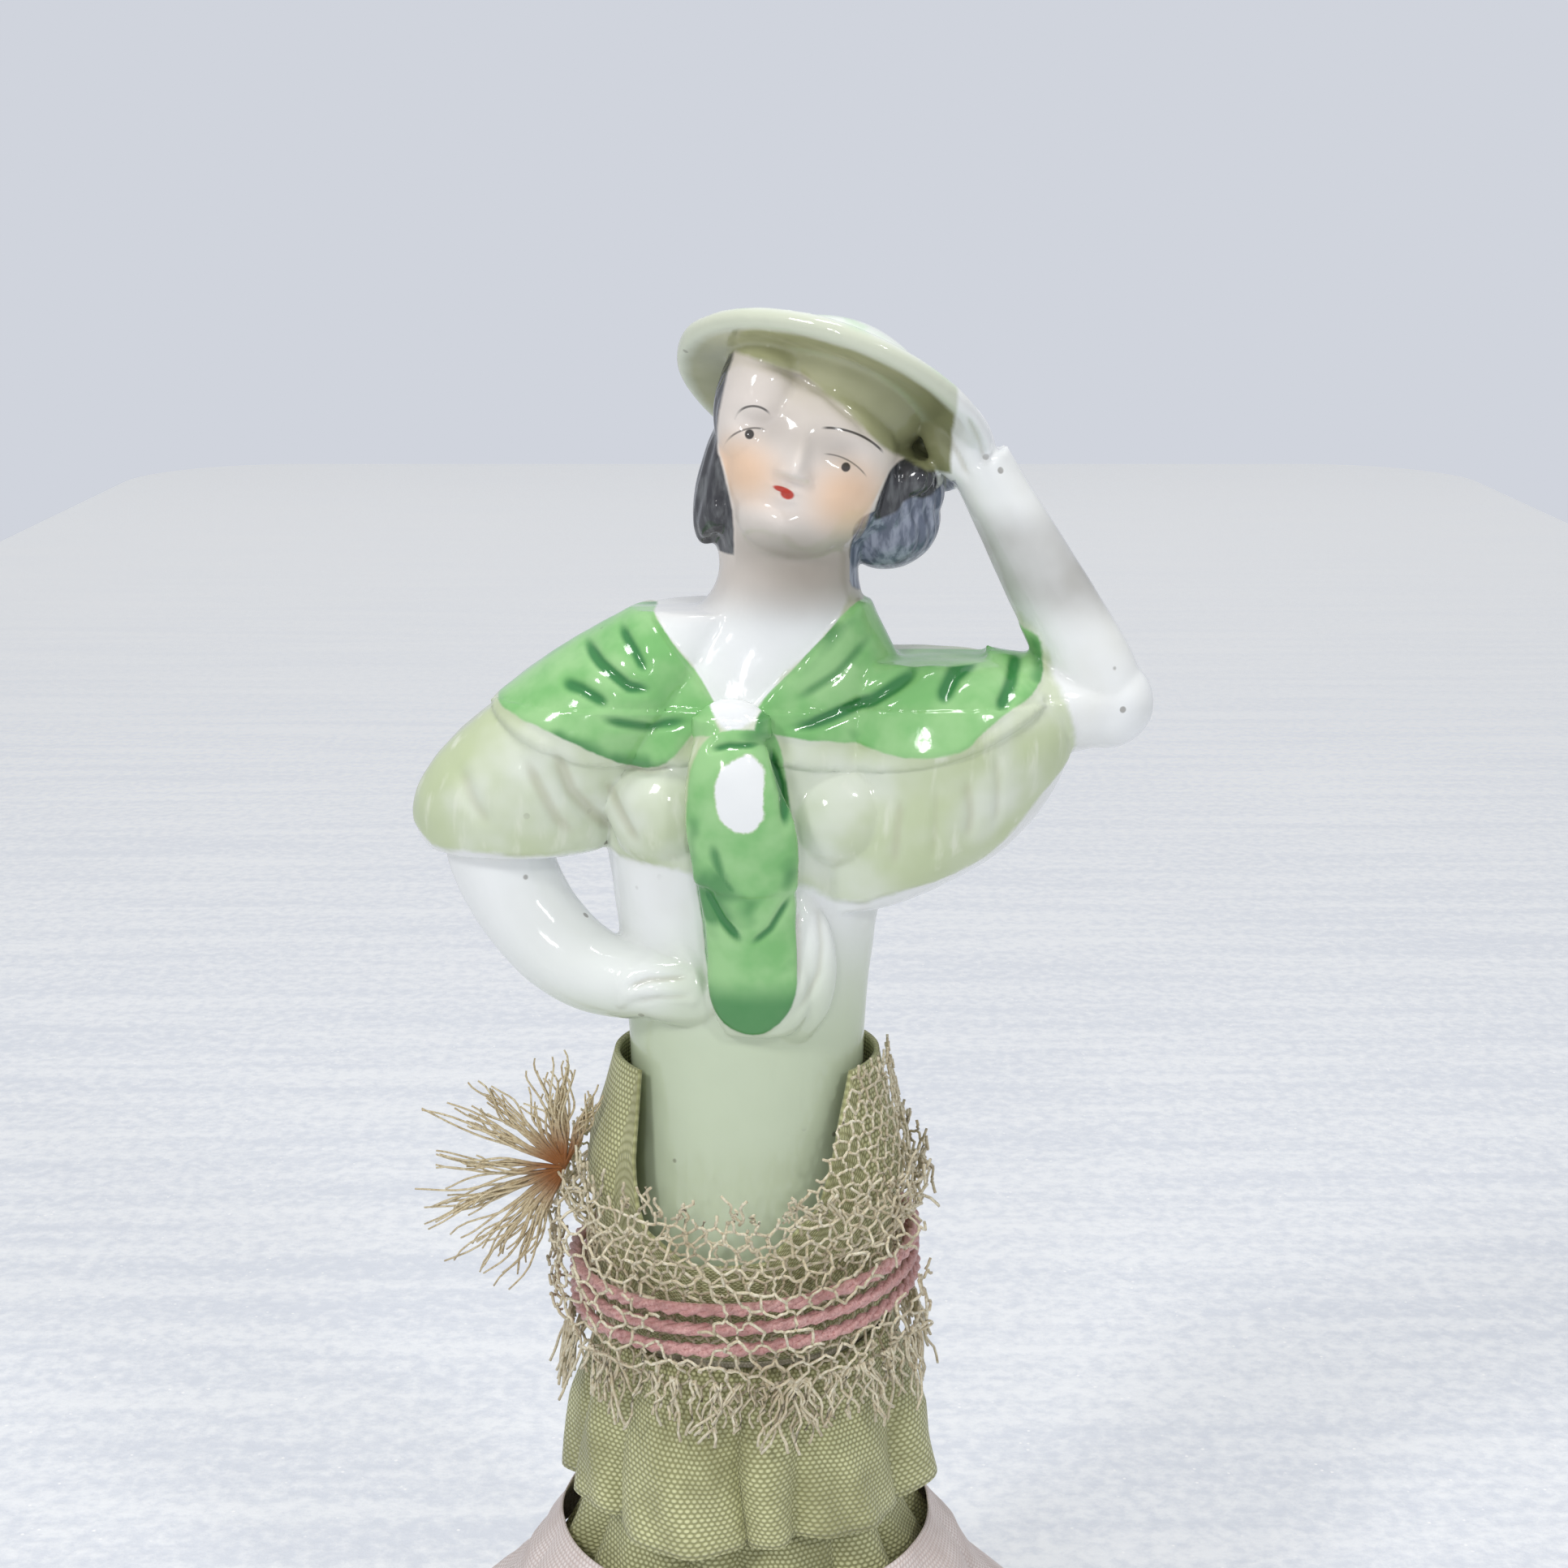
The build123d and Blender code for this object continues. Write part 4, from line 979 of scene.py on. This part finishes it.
tiers = {
    "ribbon_tier_1": {"folds": 11, "turn": 0.4, "levels": [
        (61.4, 0.3, 0.4), (57.0, 1.0, 1.0), (52.2, 1.94, 2.0), (45.0, 2.84, 2.2)]},
    "ribbon_tier_2": {"folds": 12, "turn": 2.1, "levels": [
        (52.0, 0.3, 0.4), (45.5, 0.3, 0.4), (42.0, 0.9, 1.3), (38.0, 1.94, 1.8), (35.5, 2.24, 2.0)]},
    "ribbon_tier_3": {"folds": 16, "turn": 3.3, "levels": [
        (37.6, 0.3, 0.4), (34.8, 0.4, 0.4), (30.0, 0.7, 1.2), (24.0, 0.9, 1.4), (21.4, 2.14, 1.6),
        (17.0, 2.44, 1.8)]},
    "ribbon_tier_4": {"folds": 20, "turn": 5.0, "levels": [
        (20.6, 0.3, 0.4), (17.2, 0.4, 0.4), (14.0, 0.8, 1.2), (9.0, 1.2, 2.0), (2.0, 2.3, 3.0)]},
}


gather = {"columnsPerFold": 18, "rowStep": 0.8}


def ringGrid(levels, folds, turn, thickness):
    # the middle surface of a gathered ring, from its levels: height, gap over the bell, fold depth
    heights, gaps, depths = (np.array(column, float) for column in zip(*levels))
    rows = max(6, int((heights[0] - heights[-1]) / gather["rowStep"]))
    z = np.linspace(heights[0], heights[-1], rows)
    inner = np.interp(-z, -heights, gaps) + bellRadius(z)
    depth = np.interp(-z, -heights, depths)
    angle = np.linspace(0, 2 * math.pi, folds * gather["columnsPerFold"], endpoint=False)
    wave = foldWave(angle, folds, turn)
    radius = inner[:, None] + thickness / 2 + depth[:, None] * wave[None, :]
    # creases wander down the cloth, and its lower edge waves a little
    share = np.linspace(0, 1, rows)[:, None]
    sway = 0.05 * np.sin(angle * 3 + 1)[None, :] * share + 0.02 * np.sin(angle * 7 + z[:, None] * 0.3)
    radius = radius + 0.22 * np.sin(angle * 23 + z[:, None] * 0.55 + 1) * share
    edge = 0.5 * np.sin(angle * 5 + 2)[None, :] * share**2
    turned = angle[None, :] + sway
    return np.stack([radius * np.cos(turned), radius * np.sin(turned), z[:, None] + edge], 2)


def buildTiers():
    material = wovenMaterial("oliveRibbon", rgb(178, 178, 128), rgb(222, 222, 172), rgb(132, 130, 84),
                             pitch=0.43, gloss=0.36, relief=0.14)
    for name, tier in tiers.items():
        grid = ringGrid(tier["levels"], tier["folds"], tier["turn"], 0.8)
        mesh = clothMesh(name + "_cloth", grid)
        mesh.materials.append(material)
        piece = addPiece(name + "_cloth", mesh, name)
        thicken(piece, 0.5)


buildTiers()
print("ribbon tiers ready")


hipSections = [
    (62.1, 13.6, 13.6, 0.0), (65.8, 13.6, 13.6, 0.0), (68.8, 13.6, 13.5, 0.0), (72.0, 13.6, 13.3, 0.0),
    (75.8, 14.5, 13.4, 0.0), (79.8, 14.0, 12.4, 0.0), (83.8, 12.8, 11.0, 0.1), (87.8, 11.9, 10.0, 0.3),
]


def hipPoint(angle, z, out):
    # a point on the hip wrap's inner surface, moved outward; angle 0 is +X, -90 degrees the front
    z = np.asarray(z, float)
    heights, wide, deep, middle = (np.array(c) for c in zip(*hipSections))
    w, d, m = (np.interp(z, heights, c) for c in (wide, deep, middle))
    return np.stack([m + (w + out) * np.cos(angle), (d + out) * np.sin(angle), z], -1)


hipWrap = {
    "front": [(-14, 87.8), (-11, 87.8), (-8.6, 73.8), (-5, 71.2), (2, 71.8), (6.6, 76.8), (10.8, 87.8),
              (14, 87.8)],
    "top": 87.8,
    "low": 62.3,
    "halfWidth": 13.8,
    "gap": 0.4,
    "thickness": 0.5,
}


def buildHipRibbon():
    # one ribbon wrapped round the waist, its two ends standing up at the sides and open in front
    angles = np.radians(np.linspace(-90, 270, 260))
    rows = np.linspace(0, 1, 34)
    across, height = zip(*hipWrap["front"])
    grid = np.zeros((len(rows), len(angles), 3))
    for column, angle in enumerate(angles):
        x = hipWrap["halfWidth"] * math.cos(angle)
        top = float(np.interp(x, across, height)) if math.sin(angle) < 0.25 else hipWrap["top"]
        z = top + (hipWrap["low"] - top) * rows
        grid[:, column] = hipPoint(angle, z, hipWrap["gap"])
    mesh = clothMesh("hipRibbon", grid, closed=False)
    mesh.materials.append(bpy.data.materials["oliveRibbon"])
    piece = addPiece("hipRibbon", mesh, "hip_ribbon")
    thicken(piece, hipWrap["thickness"])


def hexNet(surface, across, down, cell, seed, loosen=0.18, keep=1.0, segments=4):
    # threads of a hexagon net over surface(u, v), with u and v in millimetres of flat net
    chance = np.random.default_rng(seed)
    side = cell / math.sqrt(3)
    columns, rows = int(across / cell), int(down / (1.5 * side))
    spots = {}

    def spot(key, u, v):
        if key not in spots:
            spots[key] = np.array([u, v]) + chance.normal(size=2) * loosen * cell * 0.5
        return spots[key]

    paths = []
    for row in range(rows):
        for column in range(columns):
            u = (column + 0.5 * (row % 2)) * cell
            v = row * 1.5 * side
            low = spot((row, column, 0), u, v)
            high = spot((row, column, 1), u, v + side)
            ends = [(low, high)]
            shift = column if row % 2 else column - 1
            if row + 1 < rows:
                for nearby in (shift, shift + 1):
                    target = nearby % columns
                    other = (target + 0.5 * ((row + 1) % 2)) * cell
                    other = spot((row + 1, target, 0), other, (row + 1) * 1.5 * side)
                    ends.append((high, other + np.array([(nearby - target) * cell, 0])))
            for start, end in ends:
                if chance.random() > keep:
                    continue
                t = np.linspace(0, 1, segments)[:, None]
                line = start + t * (end - start)
                line[1:-1] += chance.normal(size=(segments - 2, 2)) * 0.05 * cell
                paths.append(surface(line[:, 0], line[:, 1], chance))
    return paths


frill = {"levels": [
    (77.8, 16.7, 0.8), (75.4, 16.7, 0.6), (73.0, 16.2, 0.3), (71.6, 14.7, 0.08), (61.8, 14.7, 0.08),
    (61.4, 14.84, 0.3), (57.0, 16.35, 0.9)], "folds": 14, "turn": 0.9, "flat": (0.0206,
                                                                                0.196), "threadArea": 0.0024}


def buildNetFrill():
    heights, inner, depths = (np.array(c, float) for c in zip(*frill["levels"]))
    length = 2 * math.pi * 15.6

    def onFrill(u, v, chance):
        angle = u / length * 2 * math.pi
        z = 77.8 - v
        wave = foldWave(angle, frill["folds"], frill["turn"])
        radius = np.interp(-z, -heights, inner) + 0.3 + np.interp(-z, -heights, depths) * wave
        radius = radius + 0.15 * np.sin(angle * 31 + z * 1.7) + chance.normal() * 0.08
        return np.stack([radius * np.cos(angle), radius * np.sin(angle), z], 1)

    def onOverlap(u, v, chance):
        # a looser layer, folded down over the cord in front
        angle = u / length * 2 * math.pi
        z = 76.0 - v
        bulge = 2.9 * softStep(z, 76.0, 73.0) * softStep(z, 60.0, 63.0)
        radius = 15.6 + bulge + 0.35 * np.sin(angle * 17 + z) + chance.normal() * 0.12
        return np.stack([radius * np.cos(angle), radius * np.sin(angle), z + 0.8 * np.sin(angle * 6)], 1)

    paths = hexNet(onFrill, length, 20.6, 1.7, 3)
    chance = np.random.default_rng(8)
    for path in hexNet(onOverlap, length, 15.5, 1.9, 4, keep=0.9):
        angle = math.atan2(path[0, 1], path[0, 0])
        middle = path[:, 2].mean()
        # the cord shows through two gaps in front, one at the side and most of the way round behind
        open1 = -2.02 < angle < -1.72 and 64.6 < middle < 70.6
        open2 = -1.2 < angle < -0.3 and 64.8 < middle - 4.5 * (angle + 1.2) < 68.6
        open3 = abs(angle) < 0.3 and middle < 73
        if not (open1 or open2 or open3) and (angle < 0.2 or angle > 2.9 or middle > 70 + 2
                                              * math.sin(angle * 9)):
            paths.append(path)
    for strand in range(420):
        angle = chance.uniform(0, 2 * math.pi)
        upper = strand % 4 == 0
        start = np.array([math.cos(angle), math.sin(angle)]) * (16.4 if upper else 16.9)
        reach = chance.uniform(2.0, 6.5) * (0.5 if upper else 1)
        slant, out = chance.normal() * 0.35, chance.uniform(0.0, 0.35)
        t = np.linspace(0, 1, 8)
        radial = 1 + out * t * reach / 16
        wobble = 0.28 * np.sin(t * chance.uniform(6, 14) + strand)
        around = angle + slant * t * reach / 17 + wobble / 17
        size = np.hypot(*start) * radial + wobble * 0.4
        z = (76.8 if upper else 61.5) + (reach if upper else -reach) * t
        paths.append(np.stack([size * np.cos(around), size * np.sin(around), z], 1))
    radii = [0.13 + 0.03 * chance.random() for _ in paths]
    mesh = tubeMesh("netFrill", paths, radii, 5)
    mesh.materials.append(threadMaterial("beigeNet", rgb(214, 202, 172), rgb(238, 232, 210),
                                         rgb(176, 158, 124), gloss=0.7, twist=0.35))
    piece = addPiece("netFrill", mesh, "net_frill")


netPanel = {
    "lowEdge": [(2.6, 88), (3.2, 74), (19, 74)],
    "highEdge": [(2.6, 74), (8.4, 82.3), (10.6, 88.8), (19, 88.8)],
    "cell": 1.5,
    "thread": 0.14,
}


def buildNetPanel():
    def onHip(u, v, chance):
        angle = np.radians(-82) + u / 14.6
        return hipPoint(angle, 88.6 - v, 1.5 + chance.normal() * 0.1)

    low, high = (np.array(netPanel[edge], float).T for edge in ("lowEdge", "highEdge"))
    paths = []
    for path in hexNet(onHip, 24, 15, netPanel["cell"], 5):
        x, z = path[:, 0].mean(), path[:, 2].mean()
        if x > low[0, 0] and np.interp(x, *low) < z < np.interp(x, *high):
            paths.append(path)
    mesh = tubeMesh("netPanel", paths, [netPanel["thread"]] * len(paths), 5)
    mesh.materials.append(bpy.data.materials["beigeNet"])
    piece = addPiece("netPanel", mesh, "net_panel")


tuft = {
    "root": (-16.9, -4.0, 77.2),
    "strands": 130,
    "steps": 14,
    "thick": 0.16,
    "thin": 0.09,
    # heading in degrees and length of each clump
    "clumps": [(88, 12.5), (98, 11.5), (112, 11.0), (134, 13.0), (152, 14.5), (178, 12.0), (200, 14.5),
               (224, 15.0), (243, 14.5), (70, 8.5)],
}


def buildTuft():
    chance = np.random.default_rng(12)
    root = np.array(tuft["root"])
    steps = tuft["steps"]
    t = np.linspace(0, 1, steps)
    paths = []
    for strand in range(tuft["strands"]):
        heading, far = tuft["clumps"][int(chance.integers(len(tuft["clumps"])))]
        turn = math.radians(heading + chance.normal() * 4.5)
        reach = far * chance.uniform(0.6, 1.0)
        out = np.array([math.cos(turn) * reach, chance.normal() * 0.35, math.sin(turn) * reach])
        sway = np.stack([np.sin(t * 9 + strand), np.zeros(steps), np.cos(t * 8 + strand * 2)], 1)
        paths.append(root + t[:, None] * (out + sway * 0.55))
    radii = [np.linspace(tuft["thick"], tuft["thin"], steps)] * len(paths)
    mesh = tubeMesh("netTuft", paths, radii, 5)
    material = threadMaterial("tuftNet", rgb(204, 188, 152), rgb(228, 216, 184), rgb(166, 142, 100),
                              gloss=0.7,
                              twist=0.35)
    tree = material.node_tree
    shader = tree.nodes["Principled BSDF"]
    # a rusty pin stain at the root
    away = put(tree, "ShaderNodeVectorMath", {"operation": "DISTANCE"}, in0=position(tree),
               in1=tuple(root * mm)).outputs["Value"]
    rust = ramp(tree, away, 5.5 * mm, 1.2 * mm)
    before = shader.inputs["Base Color"].links[0].from_socket
    tree.links.new(blend(tree, rust, before, rgb(138, 82, 28)), shader.inputs["Base Color"])
    mesh.materials.append(material)
    addPiece("netTuft", mesh, "net_tuft")


cord = {"turns": 3, "radius": 16.35, "low": 63.6, "rise": 6.0, "lean": 3.0, "plies": (3, 0.36, 2.6),
        "ply": 0.38}
knot = {"plies": (3, 0.34, 2.4), "ply": 0.36, "behind": 18.9, "height": 66.6}


def buildCord():
    t = np.linspace(0, 1, cord["turns"] * 60 + 1)
    angle = math.radians(90) + t * cord["turns"] * 2 * math.pi
    x, y = cord["radius"] * np.cos(angle), cord["radius"] * np.sin(angle)
    # the whole winding leans a little, higher at the lady's left hand
    z = cord["low"] + cord["rise"] * t + x * math.tan(math.radians(cord["lean"]))
    material = threadMaterial("pinkFloss", rgb(208, 154, 150), rgb(232, 190, 184), rgb(168, 112, 106),
                              gloss=0.42,
                              twist=0.3)
    paths = twistPlies(np.stack([x, y, z], 1), *cord["plies"])
    mesh = tubeMesh("pinkCord", paths, [cord["ply"]] * len(paths), 8)
    mesh.materials.append(material)
    addPiece("pinkCord", mesh, "waist_cord")

    a = np.linspace(0, 1, 40) * 4 * math.pi
    lines = [np.stack([1.5 * np.sin(a), knot["behind"] + 0.8 * np.cos(a * 1.5),
                       knot["height"] + 1.2 * np.cos(a)], 1)]
    for side in (-1, 1):
        lines.append([(side * 0.4, knot["behind"], 65.8), (side * 1.4, 20.0, 63.5), (side * 2.3, 20.5, 60.0),
                      (side * 3.2, 20.5, 54.4)])
    paths = []
    for line in lines:
        paths += twistPlies(smoothLine(line, 24), *knot["plies"])
    mesh = tubeMesh("cordKnot", paths, [knot["ply"]] * len(paths), 6)
    mesh.materials.append(material)
    addPiece("cordKnot", mesh, "cord_knot")


def smoothLine(line, count):
    # a rounded run through a few points
    line = np.array(line, float)
    if len(line) >= count:
        return line
    t = np.linspace(0, len(line) - 1, count)
    padded = np.vstack([2 * line[0] - line[1], line, 2 * line[-1] - line[-2]])
    out = []
    for value in t:
        index = min(int(value), len(line) - 2)
        f = value - index
        p0, p1, p2, p3 = padded[index:index + 4]
        out.append(0.5 * (2 * p1 + (p2 - p0) * f + (2 * p0 - 5 * p1 + 4 * p2 - p3) * f**2
                          + (3 * p1 - p0 - 3 * p2 + p3) * f**3))
    return np.array(out)


def twistPlies(core, plies, spread, pitch):
    # the strands of a laid cord around its core line
    way = np.gradient(core, axis=0)
    step = np.linalg.norm(way, axis=1)
    way /= step[:, None]
    side = np.cross(way, [0.02, 0.05, 1.0])
    side /= np.linalg.norm(side, axis=1)[:, None]
    other = np.cross(way, side)
    length = np.concatenate([[0], np.cumsum(np.linalg.norm(np.diff(core, axis=0), axis=1))])
    paths = []
    for ply in range(plies):
        a = length / pitch * 2 * math.pi + ply * 2 * math.pi / plies
        paths.append(core + spread * (side * np.cos(a)[:, None] + other * np.sin(a)[:, None]))
    return paths


gauze = {"levels": [(40.0, 4.9, 0.08), (35.2, 6.1, 0.6), (30.0, 4.6, 1.0), (23.0, 4.8, 1.4)], "folds": 13,
         "turn": 1.6,
         "thickness": 0.15}


def buildGauze():
    grid = ringGrid(gauze["levels"], gauze["folds"], gauze["turn"], 0.5)
    mesh = clothMesh("gauzeSkirt", grid)
    mesh.materials.append(wovenMaterial("paleGauze", rgb(228, 214, 210), rgb(240, 230, 226),
                                        rgb(196, 178, 170),
                                        pitch=0.5, gloss=0.7, relief=0.08))
    piece = addPiece("gauzeSkirt", mesh, "gauze_underskirt")
    thicken(piece, gauze["thickness"])


def levelRing(size, angle, z):
    return np.stack([size * np.cos(angle), size * np.sin(angle), np.broadcast_to(z, angle.shape)], 1)


cushion = {"columns": 220, "underside": 0.75, "top": 61.3, "slack": 0.12, "fill": 0.9}


def buildCushion():
    # the stuffed bell in its lining: crowned below the waist, with soft vertical puckers
    heights = np.concatenate([[0.8, 1.0, 1.6, 2.6, 4, 6], np.linspace(8, 61.2, 68)])
    angle = np.linspace(0, 2 * math.pi, cushion["columns"], endpoint=False)
    rings = [levelRing(r, angle, cushion["underside"]) for r in (0.4, 9, 18, 25, 28)]
    for z in heights:
        radius = bellRadius(z) - cushion["slack"]
        pucker = 0.22 * np.sin(angle * 26 + 2 * np.sin(z * 0.2)) + 0.12 * np.sin(angle * 11 + z * 0.4)
        size = radius - cushion["slack"] + pucker * min(1.0, z / 20) * (radius > 13.2) * 0.5
        rings.append(levelRing(size, angle, z))
    rings += [levelRing(r, angle, cushion["top"]) for r in (10.0, 5.0, 0.4)]
    mesh = clothMesh("stuffedSkirt", np.array(rings))
    fill = bmesh.new()
    fill.from_mesh(mesh)
    bmesh.ops.holes_fill(fill, edges=fill.edges)
    fill.to_mesh(mesh)
    fill.free()
    mesh.materials.append(wovenMaterial("liningCotton", rgb(222, 212, 190), rgb(234, 226, 208),
                                        rgb(186, 172, 144),
                                        pitch=0.4, gloss=0.75, relief=0.05))
    piece = addPiece("stuffedSkirt", mesh,
                     ("lining_bag", "cushion_stuffing", "neck_wadding"))


baseCloth = {"rim": 0.1, "thickness": 0.3, "columns": 220}


def buildBaseCloth():
    # the cloth glued under the card
    angle = np.linspace(0, 2 * math.pi, baseCloth["columns"], endpoint=False)
    low, high = (np.array(corner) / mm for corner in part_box("base_cloth"))
    radius = (high[0] - low[0]) / 2
    middle = (low[2] + high[2]) / 2
    rings = []
    for r in np.linspace(0.3, radius - baseCloth["rim"], 26):
        rings.append(levelRing(r, angle, middle + 0.03 * np.sin(angle * 5 + r) * softStep(r, 5, 20)))
    mesh = clothMesh("baseCloth", np.array(rings))
    layout = mesh.uv_layers["flatLie"]
    corner = np.empty(len(mesh.loops), int)
    mesh.loops.foreach_get("vertex_index", corner)
    spots = np.array([vertex.co[:2] for vertex in mesh.vertices])[corner] / mm * 0.1
    layout.data.foreach_set("uv", spots.astype(np.float32).ravel())
    mesh.materials.append(wovenMaterial("baseCotton", rgb(176, 168, 130), rgb(196, 190, 152),
                                        rgb(130, 122, 88),
                                        pitch=0.5, gloss=0.7, relief=0.06))
    piece = addPiece("baseCloth", mesh, "base_cloth")
    thicken(piece, baseCloth["thickness"])


def dressFrameNodes():
    # stitches and card keep their modelled shape and get their own finishes
    thread = threadMaterial("sewingThread", rgb(196, 192, 160), rgb(224, 220, 194), rgb(140, 132, 100),
                            gloss=0.5,
                            twist=0.2)
    card = threadMaterial("greyCard", rgb(150, 140, 120), rgb(176, 166, 146), rgb(112, 102, 84), gloss=0.85,
                          twist=1.2)
    for name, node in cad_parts.items():
        if "stitch" in name or name == "base_card":
            node.data.materials.clear()
            node.data.materials.append(card if name == "base_card" else thread)


buildCushion()
buildBaseCloth()
dressFrameNodes()
buildHipRibbon()
buildNetFrill()
buildNetPanel()
buildTuft()
buildCord()
buildGauze()
print("net, cord and gauze ready")
